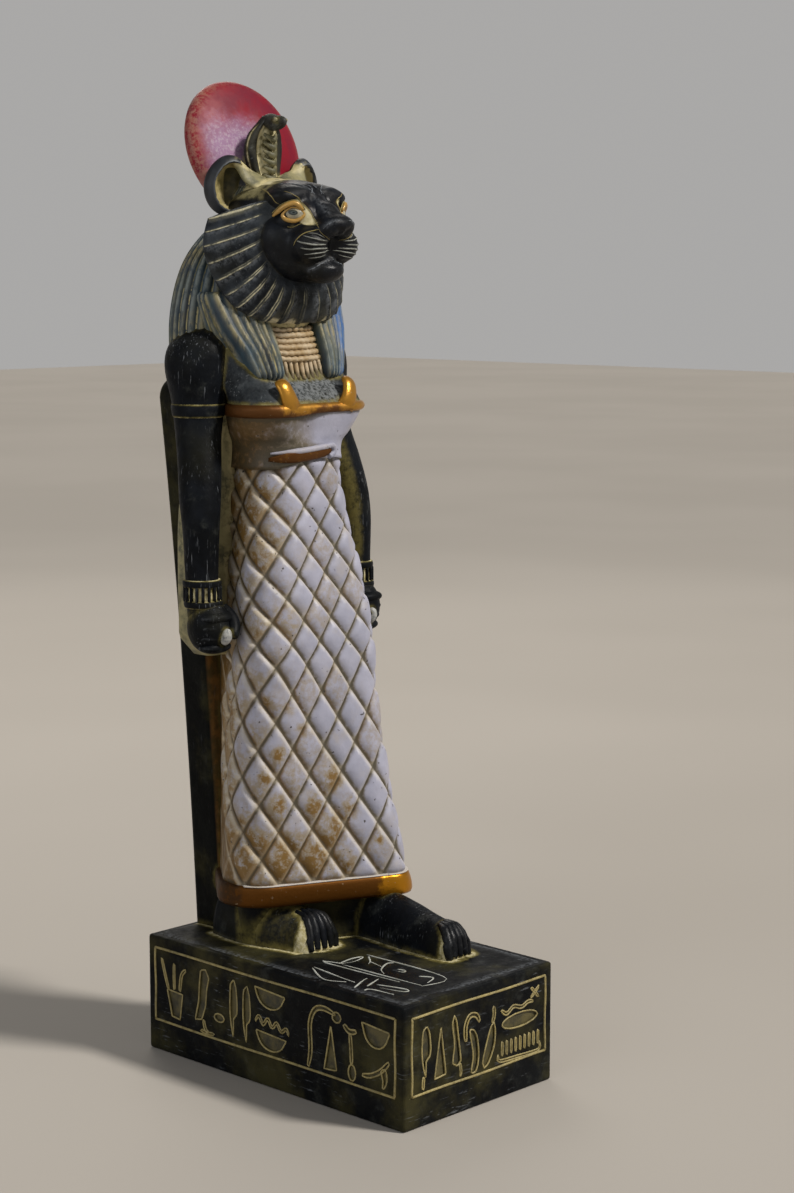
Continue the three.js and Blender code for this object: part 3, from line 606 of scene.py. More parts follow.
# %% Small finishes
def plain_paint(name, main, second, wash, grey, size=5):
    r = Recipe(name)
    colour = r.over(r.patches(0.38, 0.64, size, 5, 0.65), main, second)
    colour = r.over(r.times(r.held("rub", 0.35, 0.6, 1.2, 4), 0.8), colour, grey)
    settle = r.held("wash", 0.28, 0.58, 2.2, 4, 0.6, 0.3, 1.1)
    colour = r.over(r.between(settle, 0.15, 0.8), colour, wash)
    return r.done(colour, 0.55, r.cloud(1.6, 5), 0.14)


collar_tan = plain_paint("collar tan", "bba88a", "a28962", "5a4e32", "d8cbac")
web_cream = plain_paint("cream stone between the forms", "8d8660", "4f4f3c", "b9ad80", "a9a17e", size=6)
pale_rod = plain_paint("pale chipped stone", "85888c", "5a5d60", "8d8768", "c9c8c0")
floor_olive = plain_paint("carved floor olive", "544c2a", "2e2c1c", "1d1d18", "8d8358", size=5)
line_cream = plain_paint("carved line cream", "978750", "6f6338", "5a5430", "bcb083", size=7)
line_grey = plain_paint("brushed ridge grey", "8f918a", "686a63", "3a3a34", "b8b8ad", size=3)
line_white = plain_paint("scratched line white", "b9bbb4", "96978c", "6d6d60", "d8d8d0", size=4)
belly_olive = plain_paint("cobra belly olive", "5d5a3c", "38371f", "8f8a62", "c2b78c", size=3)
print(len(bpy.data.materials), "materials")

# %% [markdown]
# ### Floor
# A plain pale floor, marked as stage, so that it isn't part of the object.

# %% Floor
deselect()
bpy.ops.mesh.primitive_plane_add(size=8)
floor = bpy.context.object
floor.name = "floor"
r = Recipe("pale floor")
floor.data.materials.append(r.done(r.over(r.patches(0.3, 0.7, 400, 2), "aaa49c", "afa9a1"), 0.85))
floor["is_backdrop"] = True
print("floor ready")

# %% [markdown]
# ## The outline of the body
# Seen from above, the body is a sheet stretched round two legs and the pillar. outline_round walks
# round a few circles and gives the point at any distance from the front, together with the way out of the
# surface. The dress, the hem, the bodice and the bands all follow it, a little further out or in.

# %% Body outline
BODY = [
    [13.5, -12.5, 29.5, 12, 21.5, 51.5, 6], [27.5, -13, 30.5, 11.4, 19, 49, 6.6],
    [49.5, -13.5, 32.5, 10.4, 16, 44.5, 7.8], [74.5, -14, 35, 9.6, 14, 40, 8.8],
    [93.5, -14, 36.5, 9.4, 13.5, 38, 9.2], [113.5, -11.5, 34.5, 9.4, 11.5, 34.5, 9.4],
    [133.5, -6.5, 31, 10.6, 6.5, 31, 10.6], [150.5, -4, 29.5, 12, 4, 29.5, 12],
    [156, -9, 31.5, 11, 9, 31.5, 11], [163, -13, 33.5, 10.3, 13, 33.5, 10.3],
    [166.5, -13, 32.5, 10, 13, 32.5, 10], [171.5, -13, 27, 10.3, 13, 27, 10.3],
    [183.5, -12, 20, 11, 12, 20, 11], [192, -8, 19, 10, 8, 19, 10],
]
HEM_FOOT, HEM_TOP, WAIST, CHEST_BAND = 13.5, 19.7, 150.5, 163.5
PILLAR_FRONT, BODY_MIDDLE = 13.0, 22


class Outline:
    """The way round the body at one height, starting from its middle in front."""

    def __init__(self, up, grow=0.0, steps=360):
        xr, out_r, r, xl, out_l, left = read(BODY, up)[:, 0]
        circles = np.array([[xr, out_r, r + grow], [xl, out_l, left + grow],
                            [-9.5, PILLAR_FRONT - 1, 3 + grow], [9.5, PILLAR_FRONT - 1, 3 + grow]])
        turn = TAU * np.arange(steps) / steps
        way = np.stack([np.sin(turn), np.cos(turn)], -1)
        best = np.argmax(circles[:, :2] @ way.T + circles[:, 2:], axis=0)
        ring = circles[best, :2] + circles[best, 2:] * way
        middle = ring[:, 1].mean()
        after = np.roll(ring, -1, 0)
        k = np.nonzero((ring[:, 0] < 0) & (after[:, 0] >= 0) & (ring[:, 1] > middle))[0][0]
        part = -ring[k, 0] / (after[k, 0] - ring[k, 0])
        start = np.array([0, ring[k, 1] + part * (after[k, 1] - ring[k, 1])])
        self.points = np.vstack([start, np.roll(ring, -(k + 1), 0), start])
        self.walked = np.r_[0, np.cumsum(np.hypot(*np.diff(self.points, axis=0).T))]
        self.total = self.walked[-1]

    def spot(self, s):
        s = np.mod(s, self.total)
        return np.stack([np.interp(s, self.walked, self.points[:, i]) for i in (0, 1)], -1)

    def at(self, s):
        d = self.spot(np.asarray(s) + 1) - self.spot(np.asarray(s) - 1)
        d /= np.hypot(d[:, 0], d[:, 1])[:, None]
        return self.spot(s), np.stack([-d[:, 1], d[:, 0]], -1)

    def reach(self, out, side):
        """How far along one side the outline comes back to a plane behind the body."""
        s = np.arange(0, self.total / 2, 0.25)
        below = np.nonzero(self.spot(side * s)[:, 1] <= out)[0]
        return s[below[0]] if len(below) else self.total / 2


print("outline at the hem is", round(Outline(HEM_TOP).total, 1), "mm round")


# %% Bands round the body
def body_band(low, high, grow, around, rows, swell=0.0, shape=None):
    """A stretch of the body between two heights. swell rounds its edge like a rope's, and shape gives
    an extra lift and rise at each distance from the front and height."""
    piece, turn, level, spread = clay(around, rows)
    spots = np.zeros((len(turn), 3))
    sway = np.zeros(len(turn))
    for value in np.unique(level):
        here = level == value
        up = low + value * (high - low)
        proud = grow + swell * (math.sqrt(max(1 - (2 * value - 1) ** 2, 0)) - 1)
        outline = Outline(up, proud)
        walk = turn[here] * outline.total
        flat, way = outline.at(walk)
        sway[here] = np.where(walk > outline.total / 2, walk - outline.total, walk)
        lift, rise = shape(sway[here], up) if shape else (0 * walk, 0 * walk)
        x, out = (flat + way * lift[:, None]).T
        k = spread[here]
        spots[here] = place(x * k, BODY_MIDDLE + (out - BODY_MIDDLE) * k, up + rise)
    set_points(piece, spots)
    return piece, sway, level


def on_body(sway, up, lift=0.0):
    """Places on the body, from the distance from the front and the height."""
    spots = []
    for s, u in zip(np.atleast_1d(sway), np.broadcast_to(up, np.shape(np.atleast_1d(sway)))):
        flat, way = Outline(float(u), 0.0, 180).at(np.array([s, s]))
        spots.append(place(*(flat[0] + way[0] * lift), u))
    return np.array(spots)


print("the waist's front is at", np.round(on_body(0, WAIST)[0], 4))

# %% [markdown]
# ## Quilted dress
# The dress is covered with diamonds that stand up like small cushions between V-shaped seams. The mesh
# is laid so that its rows and columns follow the diamonds, eight steps to each half diamond, and each
# four-sided face is cut in two along the seam that crosses it, so the seams stay sharp.

# %% Rows of diamonds
HALF_WIDE, HALF_TALL = 5.5, 8.45  # half a diamond
TALL_ROWS = 8  # half diamonds above the hem that are full height, before they get a fifth shorter
STEPS = 8
DRESS_TOP = WAIST + 0.5


def row_up(row):
    return HEM_TOP + (row - 0.2 * np.maximum(row - TALL_ROWS, 0)) * HALF_TALL


def seam_lean(up):
    """How far the front seam has leaned to the figure's left at a height."""
    return 5 * (WAIST - up) / (WAIST - HEM_TOP)


widest = Outline(HEM_TOP).total / 2
half = math.ceil(widest * 0.86 / HALF_WIDE) + 2
columns = 2 * half * STEPS
rows = 1
while row_up((rows - 1) / STEPS) < DRESS_TOP:
    rows += 1
dress, turn, level, spread = clay(columns, rows)
column = np.round(turn * columns)
side = np.where(column <= half * STEPS, 1, -1)
count = np.where(side > 0, column, columns - column) / STEPS
row = np.round(level * (rows - 1)) / STEPS
up = np.minimum(row_up(row), DRESS_TOP)
lean = seam_lean(up)
sway = np.zeros(len(turn))
flat, way = np.zeros((len(turn), 2)), np.zeros((len(turn), 2))
for value in np.unique(level):
    here = level == value
    outline = Outline(up[here][0])
    for way_round in (1, -1):
        m = here & (side == way_round)
        reach = outline.reach(PILLAR_FRONT - 2, way_round)
        whole = (reach - way_round * lean[m]) / HALF_WIDE
        near = way_round * count[m] * HALF_WIDE + lean[m]
        far = way_round * (reach + (outline.total / 2 - reach) * (count[m] - whole) / (half - whole))
        sway[m] = np.where(count[m] <= whole, near, far)
    flat[here], way[here] = outline.at(sway[here])
print("dress:", rows, "rows of", columns, "points")

# %% Cushions
SEAM_GAP = 9.2  # from seam to seam, measured square to them


def dress_side(up):
    """The distance from the front where the diamonds and the gilding end on the figure's right."""
    return np.interp(up, [19, 28, 36, 43, 60, 74, 86, 95], [-31, -32, -36, -46, -52, -49, -40, -60])


across = (sway - lean) / HALF_WIDE
p, q = (across + row) / 2, (across - row) / 2
in_p, in_q = p - np.floor(p), q - np.floor(q)
low_left, top_right = in_p * SEAM_GAP, (1 - in_p) * SEAM_GAP
top_left, low_right = in_q * SEAM_GAP, (1 - in_q) * SEAM_GAP
plate = np.ones(len(sway))
for gap, wide in ((low_left, 1.9), (top_right, 0.72), (top_left, 1.45), (low_right, 0.78)):
    plate *= 1 - np.exp(-(gap / wide) ** 1.8)
crown = (1 - (2 * in_p - 1) ** 2) * (1 - (2 * in_q - 1) ** 2)
fade = ease(flat[:, 1], PILLAR_FRONT + 1, PILLAR_FRONT + 7) * ease(row * STEPS, 0, 1.7)
fade *= 1 - 0.85 * ease(up, 146.5, 148.5)
plain = ease(dress_side(up) - sway, -1.5, 1.5)
fade *= 1 - plain
proud = (1.3 * plate + 0.12 * crown + 0.3 * plate * (in_p - 0.5)) * fade
x, out = (flat + way * proud[:, None]).T
tuck = np.where(level == 0, 1.0, 0.0)
set_points(dress, place(x * spread, BODY_MIDDLE + (out - BODY_MIDDLE) * spread, up - tuck))
print("cushions up to", round(proud.max(), 2), "mm")

# %% Wash, stains, painted shade and painted highlights on the dress
# each stain: distance from the front, height, size, strength
STAINS = [
    (-18.1, 61.1, 1.5, 1.1), (-21.9, 53.8, 1.5, 1.1), (-18, 45.5, 2, 1), (-6.1, 43.9, 2.6, 1.3),
    (0.5, 51.2, 2.6, 1.2), (5.6, 42.2, 3.0, .6), (-10.4, 67.9, 1.6, .7), (1.6, 37, 3, .6),
    (-5.6, 28.5, 2.4, .9), (-16.6, 31.7, 2.4, .8), (-27.2, 33.9, 4, .5), (-34, 73.3, 4, .7),
    (-37.6, 64.1, 4, .8), (-22.1, 77.3, 1.5, .6), (-14.8, 74.8, 1.5, .4), (-22.5, 141.2, 3, .5),
    (-31, 136, 4, .6), (-28.4, 121.9, 3, .4), (15.2, 31.4, .9, .9), (38, 60, 6, .5), (36, 30, 5, .5),
]


def chance_of(number, spread=43758.5453):
    """A fixed but uneven share, 0 to 1, for each number."""
    return np.modf(np.abs(np.sin(number) * spread))[0]


near = np.minimum(np.minimum(low_left, top_right), np.minimum(top_left, low_right))
# the seams hold tan grime; the broad bands along the lower-left and upper-left seams are painted shade on the
# slopes that face away from the light
wash = 0.95 * bump_at(near, 0.42) + 0.72 * bump_at(low_left, 1.5) + 0.5 * bump_at(top_left, 1.15)
wash = np.where(plain > 0, wash * (1 - plain) + 0.55 * plain, wash)
# rub is a painted highlight along the right-hand edges of each diamond, which face the light
rub = 0.6 * bump_at(top_right - 0.8, 0.45) + 0.35 * bump_at(low_right - 0.8, 0.4)
# the lower part of each diamond is darker with stain and also with painted shade
foot = ease(in_q - in_p, -0.3, 0.6)  # the lower part of each diamond, where the wash ran down
chance = chance_of(np.floor(p) * 12.9898 + np.floor(q) * 78.233)
stain = np.where(chance > 0.72, 0.22, 0.0) + 0.08
region = (0.85 * ease(-up, -46, -24) * ease(-sway, -16, 2) + 0.8 * ease(-flat[:, 1], -34, -20)
          + 0.35 * ease(-sway, 6, 26) + 0.8 * np.exp(-(((sway + 24) / 12) ** 2 + ((up - 134) / 14) ** 2)))
stain += region * (0.42 + 0.85 * foot)
for at_sway, at_up, size, strength in STAINS:
    stain += strength * np.exp(-(((sway - at_sway) ** 2 + (0.8 * (up - at_up)) ** 2) / size ** 2))
stain = np.clip(np.maximum(stain, 1.1 * plain), 0, 1.3)
for name, values in (("wash", wash), ("rub", rub), ("stain", stain)):
    note(dress, name, values)
print(len(STAINS), "stains")

# %% Cut the dress along its seams
faces = [(list(face.vertices) + [face.vertices[0]])[:4] for face in dress.data.polygons]
h = proud[np.array(faces)]
drop = np.abs(h[:, :2] - h[:, 2:]) + 0.05 * (h[:, :2] + h[:, 2:])
first_cut = drop[:, 0] <= drop[:, 1]
for method in ("FIXED", "FIXED_ALTERNATE"):
    select_only(dress)
    bpy.ops.object.mode_set(mode="EDIT")
    bpy.ops.mesh.select_all(action="DESELECT")
    bpy.ops.object.mode_set(mode="OBJECT")
    uncut = np.array([len(face.vertices) == 4 for face in dress.data.polygons])
    dress.data.polygons.foreach_set("select", first_cut if method == "FIXED" else uncut)
    bpy.ops.object.mode_set(mode="EDIT")
    bpy.ops.mesh.quads_convert_to_tris(quad_method=method, ngon_method="BEAUTY")
    bpy.ops.object.mode_set(mode="OBJECT")
finish_piece(dress, "dress", linen)
print("dress triangles:", len(dress.data.polygons))

# %% [markdown]
# ## Hem, bodice and bands
# Under the quilting runs a broad hem of bronze-gold paint with a rounded edge. Above the waist the
# bodice is plain white, held by a gold band under the bust with two short shoulder straps. The bands are
# the same walk round the body, a little further out.

# %% Hem
hem, sway, _ = body_band(HEM_FOOT, HEM_TOP + 0.4, 1.6, 240, 9, swell=0.7)
# the hem is darker bronze everywhere but its front corner on the figure's left
note(hem, "stain", ease(-sway, -20, -8))
# rub makes that corner bright: a painted highlight
note(hem, "rub", 1.6 * ease(sway, 10, 20))
note(hem, "wash", 1.3 * ease(-sway, 29.5, 31.5))
finish_piece(hem, "hem", hem_gold)


def hem_edge_shape(sway, up):
    return -1.5 * ease(-sway, 29, 31), 0 * sway


edge, _, _ = body_band(HEM_TOP + 0.1, HEM_TOP + 0.6, 1.3, 240, 5, swell=0.35, shape=hem_edge_shape)
note(edge, "rub", 0.5)
note(edge, "stain", 0.3)
finish_piece(edge, "hem-edge", linen)
print("hem ready")


# %% Bodice and chest
def bodice_shape(sway, up):
    foot = 1 - ease(up, 149.5, 154)
    valley = bump_at(sway + 3.5, 4.5) * ease(up, 151, 158)
    drop = 1.6 + 3.0 * ease(-sway, 2, 16) + 1.5 * ease(sway, 6, 20)
    return 1.7 * foot - 1.3 * valley, -foot * drop


bodice, sway, level = body_band(WAIST - 0.5, CHEST_BAND, 0.0, 220, 24, shape=bodice_shape)
up = WAIST - 0.5 + level * (CHEST_BAND - WAIST + 0.5)
# painted shade: the bodice is browner towards the figure's right, the side away from the light, and in the valley
# between the breasts; it is also browner far round on the figure's left and along a thin band 153.5 mm up
note(bodice, "stain", 0.45 * ease(-sway, 4, 24) + 0.4 * ease(sway, 26, 40) + 0.2 * bump_at(sway + 3.5, 4))
note(bodice, "wash", 0.75 * ease(-sway, -5, 15) + 0.25 * bump_at(up - 153.5, 1.5) * ease(-sway, -4, 8)
     + 0.12 * bump_at(sway + 3.5, 3))
finish_piece(bodice, "bodice", smooth_linen)
chest, sway, _ = body_band(CHEST_BAND - 1, 190, 0.0, 160, 30)
note(chest, "rub", 0.05 + 0.7 * ease(-np.abs(sway + 1), -16, -10))
finish_piece(chest, "chest", chest_stone)
print("bodice ready")


# %% Bands
def chest_band_shape(sway, up):
    lower = ease(-up, -CHEST_BAND - 0.8, -CHEST_BAND + 1.2)
    return 0 * sway, -0.9 * lower * ease(-sway, -2, 12)


def waist_band_shape(sway, up):
    width = np.sqrt(np.clip(1 - ((sway + 7.0) / 12.0) ** 6, 0, 1)) * ease(sway, -19.5, -8)
    middle = 150.2 + 0.1 * np.clip(sway, -18, 10)
    return 2.3 - 4.5 * (1 - ease(width, 0, 0.35)), middle + 1.1 * (up - 150.5) * width - up


band, sway, level = body_band(CHEST_BAND - 1.4, CHEST_BAND + 1.6, 1.1, 240, 11, swell=1.1,
                              shape=chest_band_shape)
note(band, "stain", 0.9 * ease(-sway, 8, 24) + 0.5 * (1 - level) + 0.3 * bump_at(sway - 2, 6))
# the brighter gold on the upper part near the figure's right strap and on the figure's left is a painted
# highlight
note(band, "rub", 0.8 * bump_at(sway + 11, 6) * level + 1.0 * bump_at(sway - 20, 8))
finish_piece(band, "chest-band", gold)
girdle, _, _ = body_band(148.9, 152.1, 0.0, 240, 9, swell=0.6, shape=waist_band_shape)
note(girdle, "stain", 0.75)
finish_piece(girdle, "waist-band", gold)
rim_sway = np.r_[np.linspace(-15, 3.4, 16), 5.4, 6.2, 5.8, 4.2]
rim_up = np.r_[151.7 + 0.085 * np.linspace(-15, 3.4, 16), 152.2, 151.0, 149.7, 148.9]
rim_size = np.interp(np.arange(40), [0, 12, 40], [0.3, 0.95, 0.95])
rim = roll(smooth_path(on_body(rim_sway, rim_up, 1.6), 40), rim_size, facing=FORWARD)
finish_piece(rim, "waist-rim", smooth_linen)
print("bands ready")

# %% Straps
STRAP = [(11.0, 43.0, 163.4), (11.9, 43.6, 165.2), (12.8, 43.4, 167.6), (13.5, 42.5, 170.2),
         (13.9, 40.7, 171.9)]
size = np.interp(np.linspace(0, 1, 16), [0, 0.25, 0.6, 0.9, 1], [3.5, 3.0, 2.6, 2.4, 1.8])
straps = []
for lean in (-1, 1):
    path = smooth_path(STRAP, 16)
    path[:, 0] *= lean
    straps.append(roll(place(*path.T), size, sides=18, facing=FORWARD, flat=0.5))
straps = joined(straps)
note(straps, "rub", 0.7)
finish_piece(straps, "straps", gold)
print("straps ready")

# %% [markdown]
# ## Stone between the limbs
# The casting keeps stone under the hem, between the arms and the body, and behind the neck, because
# thin gaps would break in the mould. These webs were washed cream and olive.

# %% Webs
finish_piece(body_band(-2, HEM_FOOT + 1, -5, 90, 12)[0], "under-hem", plinth_stone)

# an arm: height, sideways, out, radius
ARM = [[100, 32, 27.2, 5], [112, 32.1, 26.2, 4.9], [128, 31.9, 25.8, 5.5], [137, 30.9, 24.4, 6.2],
       [147, 29, 22.2, 6.5],
       [156, 27, 19.6, 6.9], [165, 25.4, 18, 8], [177, 23.6, 16.5, 10.4], [184, 22, 16.3, 9],
       [189.5, 20, 16.3, 3]]


def slab_round(turn, half_wide, front, back, corner=6.0):
    """A rounded box seen from above: x and out at a turn."""
    c, s = np.cos(turn * TAU), np.sin(turn * TAU)
    k = (np.abs(c) ** corner + np.abs(s) ** corner) ** (-1 / corner)
    return half_wide * s * k, (front + back) / 2 + (front - back) / 2 * c * k


behind, turn, level, spread = clay(120, 50)
up = 89 + level * 89
half_wide = np.minimum(read(ARM, up)[0] - 1, 25 + (up - 89))
x, out = slab_round(turn, half_wide, 22, 12)
set_points(behind, place(x * spread, 17 + (out - 17) * spread, up))
finish_piece(behind, "behind-arms", web_cream)
note(behind, "wash", 0.35)
finish_piece(lump((0, 17, 177), (27, 11, 11), 60, 30), "yoke", chest_stone)
finish_piece(lump((0, 25, 198), (14, 11.5, 15), 40, 24), "throat", web_cream)
print("webs ready")

# %% [markdown]
# ## Arms, cuffs and fists
# The arms hang straight, each a column whose middle and thickness are read from a profile, with a
# plain band above the elbow and a ribbed cuff at the wrist. Each fist is a mitten of four finger rolls
# round the end of a staff, whose cut face shows chipped and pale in front.

# %% Arms
def arm_column(low, high, grow, around, rows, swell=0.0):
    piece, turn, level, spread = clay(around, rows)
    up = low + level * (high - low)
    x, out, radius = read(ARM, up)
    lift = grow + swell * (np.sqrt(np.clip(1 - (2 * level - 1) ** 2, 0, 1)) - 1)
    r = (radius + lift) * spread
    set_points(piece, place(x + r * np.sin(turn * TAU), out + r * np.cos(turn * TAU), up))
    return piece, level


arms = both_sides(arm_column(100, 189.5, 0, 56, 60)[0])
spots = points_of(arms) / MM
inward = read(ARM, spots[:, 2] - PLINTH_HEIGHT)[0] - spots[:, 0]
note(arms, "wash", 0.36 * (spots[:, 0] > 0) * ease(inward, -1, 3.5))
finish_piece(arms, "arms", skin_stone)
print("arms ready")

# %% Armlets and cuffs
ARMLET, CUFF_FLOOR = (161.0, 165.1, 0.45), (107, 112, 0.2)
CUFF_EDGES = (105.2, 107.5, 0.9), (111.3, 113.6, 0.9)
RIBS = 18
bands = []
for band in (ARMLET, *CUFF_EDGES, CUFF_FLOOR):
    cuff, level = arm_column(*band, 64, 11, swell=0.5)
    edge = bump_at(np.minimum(level, 1 - level), 0.1)
    note(cuff, "wash", 0.85 if band == CUFF_FLOOR else 0.75 * edge)
    bands.append(cuff)
x, out, radius = read(ARM, 109.4)[:, 0]
for k in range(RIBS):
    c, s = math.cos(k / RIBS * TAU), math.sin(k / RIBS * TAU)
    rib = [[x + (radius + 0.45) * s, out + (radius + 0.45) * c, up] for up in (107.2, 109.4, 111.6)]
    bands.append(roll(place(*smooth_path(rib, 5).T), 0.5, facing=(s, -c, 0)))
finish_piece(both_sides(joined(bands)), "cuffs", skin_stone)
print("armlets and cuffs ready")

# %% Fists
parts = [lump((31.8, 28.6, 99.6), (6.3, 6.6, 8.1), 40, 28)]
for k in range(4):
    parts.append(lump((31.7 - k * 0.15, 32.0 - k * 0.45, 102.6 - k * 3), (5.7, 3.6, 1.95), 28, 16))
thumb = smooth_path([(27.2, 29.5, 104.6), (26.6, 32.0, 102.4), (27.0, 34.4, 99.4), (28.6, 35.8, 97)], 12)
size = np.interp(np.linspace(0, 1, 12), [0, 0.5, 1], [2.0, 2.3, 1.5])
parts.append(roll(place(*thumb.T), size, sides=14))
finish_piece(both_sides(joined(parts)), "fists", skin_stone)
rods = both_sides(lump((30.6, 34.9, 97.0), (1.9, 1.7, 2.6), 24, 16, nod=0.3))
note(finish_piece(rods, "staff-ends", pale_rod), "rub", 0.6)
print("fists ready")

# %% [markdown]
# ## Feet
# Each foot is a low arched form that widens to the toes. Its outline is read along its length, and the
# five toes are rolls with washed gaps between them. The soles sink into the plinth.

# %% Feet
# a foot: out, sideways, half width, height
RIGHT_FOOT = [[14, -11.5, 7, 14], [28, -11, 8.4, 14], [38, -9.4, 8.6, 13.4], [44, -7.6, 8.2, 11.6],
              [51.5, -6.6, 7.8, 10.2]]
LEFT_FOOT = [[36, 17, 6, 14], [56, 17.5, 7, 14.5], [66, 17, 7, 13], [76, 16.2, 7, 10.8], [87, 15.5, 6.8, 9.2]]
SOLE = -1.5  # how deep the feet stand in the plinth


def tree_of(piece):
    """The surface of a piece, made ready to be asked for its nearest point."""
    faces = [tuple(face.vertices) for face in piece.data.polygons]
    return BVHTree.FromPolygons([tuple(spot) for spot in points_of(piece)], faces)


def toe(tree, last_row, inner, k):
    """The roll of one toe, laid on the foot by the nearest points to a guide above it."""
    end, x, half_wide, height = last_row
    side = x + inner * (0.76 - k * 0.38) * half_wide
    size = 1.6 - k * 0.08
    guide = smooth_path([(side, end - 6.4, height + 6), (side, end - 3, height + 4), (side, end + 0.4, height),
                         (side, end + 1.8, height * 0.55), (side, end + 2, 0.6)], 18)
    nearest = [tree.find_nearest(place(*spot)) for spot in guide]
    spots = np.array([tuple(hit[0]) for hit in nearest])
    ways = np.array([tuple(hit[1]) for hit in nearest])
    sizes = np.interp(np.linspace(0, 1, 18), [0, 0.25, 0.8, 1], [size * 0.6, size * 0.95, size, size * 0.8])
    return roll(spots + ways * size * 0.3 * MM, sizes, sides=16, facing=ways)


def foot(rows_of_foot, inner):
    piece, turn, level, spread = clay(56, 44)
    heel, toe_line = rows_of_foot[0][0], rows_of_foot[-1][0]
    out = heel + level * (toe_line - heel)
    x, half_wide, height = read(rows_of_foot, out)
    front = np.sqrt(1 - (np.clip(out - toe_line + 5, 0, 5) / 5) ** 2)  # the foot ends in a round front
    half_wide, height = half_wide * (0.6 + 0.4 * front), height * (0.12 + 0.88 * front)
    c, s = np.cos(turn * TAU), np.sin(turn * TAU)
    lift = np.maximum(c, 0) ** 0.8
    set_points(piece, place(x + half_wide * spread * s, out, SOLE + spread * lift * (height - SOLE)))
    tree = tree_of(piece)
    for k in range(5):
        toes[k % 2].append(toe(tree, rows_of_foot[-1], inner, k))
    return piece


toes = ([], [])  # in turn, so that two that touch are in two pieces and the wash finds the gap
feet = joined([foot(RIGHT_FOOT, 1), foot(LEFT_FOOT, -1)])
spots = points_of(feet)
sway, out = spots[:, 0] / MM, BACK_FACE - spots[:, 1] / MM
note(feet, "wash", np.where(sway < 0, 0.2 * ease(out, 28, 40) + 0.8 * ease(out, 46.6, 47.6),
                            0.6 * ease(out, 83, 84)))
finish_piece(feet, "feet", skin_stone)
for name, group in zip(("toes-odd", "toes-even"), toes):
    finish_piece(joined(group), name, face_stone)
print("feet ready")

# %% [markdown]
# ## Back pillar
# The pillar stands flush with the plinth's back and widens to a rounded top behind the shoulders.

# %% Pillar
# the edge as seen from behind: two bowed sides, then a quarter round at the shoulder
t = np.linspace(0, 1, 60)
side_up = (1 - t) ** 2 * -2 + 2 * t * (1 - t) * 172 * 0.52 + t ** 2 * 166
side_half = (1 - t) ** 2 * 13.5 + 2 * t * (1 - t) * (13.5 + 13 * 0.32) + t ** 2 * 26.5
t = np.linspace(0.05, 1, 14)
side_up = np.r_[side_up, 166 + 6 * np.sin(t * math.pi / 2)]
side_half = np.r_[side_half, 20.5 + 6 * np.cos(t * math.pi / 2)]
piece, turn, level, spread = clay(112, 90)
share = np.linspace(0, 1, len(side_up))
up, half_wide = np.interp(level, share, side_up), np.interp(level, share, side_half)
x, out = slab_round(turn, half_wide, PILLAR_FRONT, 0.0, corner=11)
middle = PILLAR_FRONT / 2
set_points(piece, place(x * spread, middle + (out - middle) * spread, up))
from_face = np.minimum(np.abs(out), np.abs(out - PILLAR_FRONT))
from_side = np.maximum(half_wide - 1.6 - np.abs(x), 0)
note(piece, "wash", 0.35 * bump_at(from_face + from_side, 1.6) * spread * ease(up, 92, 108))
note(piece, "stain", ease(out, 11.5, 12.8) * ease(-up, -104, -84) * ease(up, 8, 22))
finish_piece(piece, "pillar", pillar_stone)
print("pillar ready")

# %% [markdown]
# ## Plinth
# The plinth is a block with softly rounded edges. Framed panels of made-up marks are cut into its sides:
# each mark is drawn as an outline, extruded into a shallow cutter, and taken out of the block by a
# Boolean. A thin cream roll along every outline stands for the paint that was wiped over its edge.

# %% Block
PLINTH_EDGE = 0.9
deselect()
bpy.ops.mesh.primitive_cube_add(size=1, location=(0, 0, PLINTH_HEIGHT / 2 * MM),
                                scale=(PLINTH_WIDTH * MM, PLINTH_LENGTH * MM, PLINTH_HEIGHT * MM))
block = bpy.context.object
bpy.ops.object.transform_apply(location=True, rotation=True, scale=True)
bpy.ops.object.mode_set(mode="EDIT")
bpy.ops.mesh.select_all(action="SELECT")
bpy.ops.mesh.bevel(offset=PLINTH_EDGE * MM, segments=3, affect="EDGES")
bpy.ops.object.mode_set(mode="OBJECT")
print("block faces:", len(block.data.polygons))

# %% Shapes of the marks
def arc(cx, cy, rx, ry, start, end, n):
    a = np.radians(np.linspace(start, end, n))
    return list(zip(cx + rx * np.cos(a), cy + ry * np.sin(a)))


def ribbon(path, wide):
    """A stroke of some width along a path, as a closed outline."""
    p = smooth_path(path, 3 * len(path) + 2)
    d = np.gradient(p, axis=0)
    d /= np.linalg.norm(d, axis=1)[:, None]
    side = np.stack([-d[:, 1], d[:, 0]], -1)
    w = np.interp(np.linspace(0, 1, len(p)), [0, 0.12, 0.88, 1], [0.55, 1, 1, 0.55])[:, None] * wide / 2
    return [tuple(v) for v in p + side * w] + [tuple(v) for v in (p - side * w)[::-1]]


def leaf(x, y, w, h):
    return [(x + w * .42, y), (x + w * .5, y + h * .35), (x + w, y + h * .42), (x + w * .86, y + h * .85),
            (x + w * .5, y + h), (x + w * .1, y + h * .9), (x, y + h * .4)]


def wedge(x, y, w, h):
    return [(x, y), (x + w, y + h * .03), (x + w * .55, y + h)]


def oval(x, y, w, h):
    return arc(x + w / 2, y + h / 2, w / 2, h / 2, 0, 345, 14)


def bowl(x, y, w, h):
    return [(x, y + h), (x + w, y + h * .85)] + arc(x + w / 2, y + h * .8, w * .44, h * .8, -15, -165, 9)


print("shapes ready")

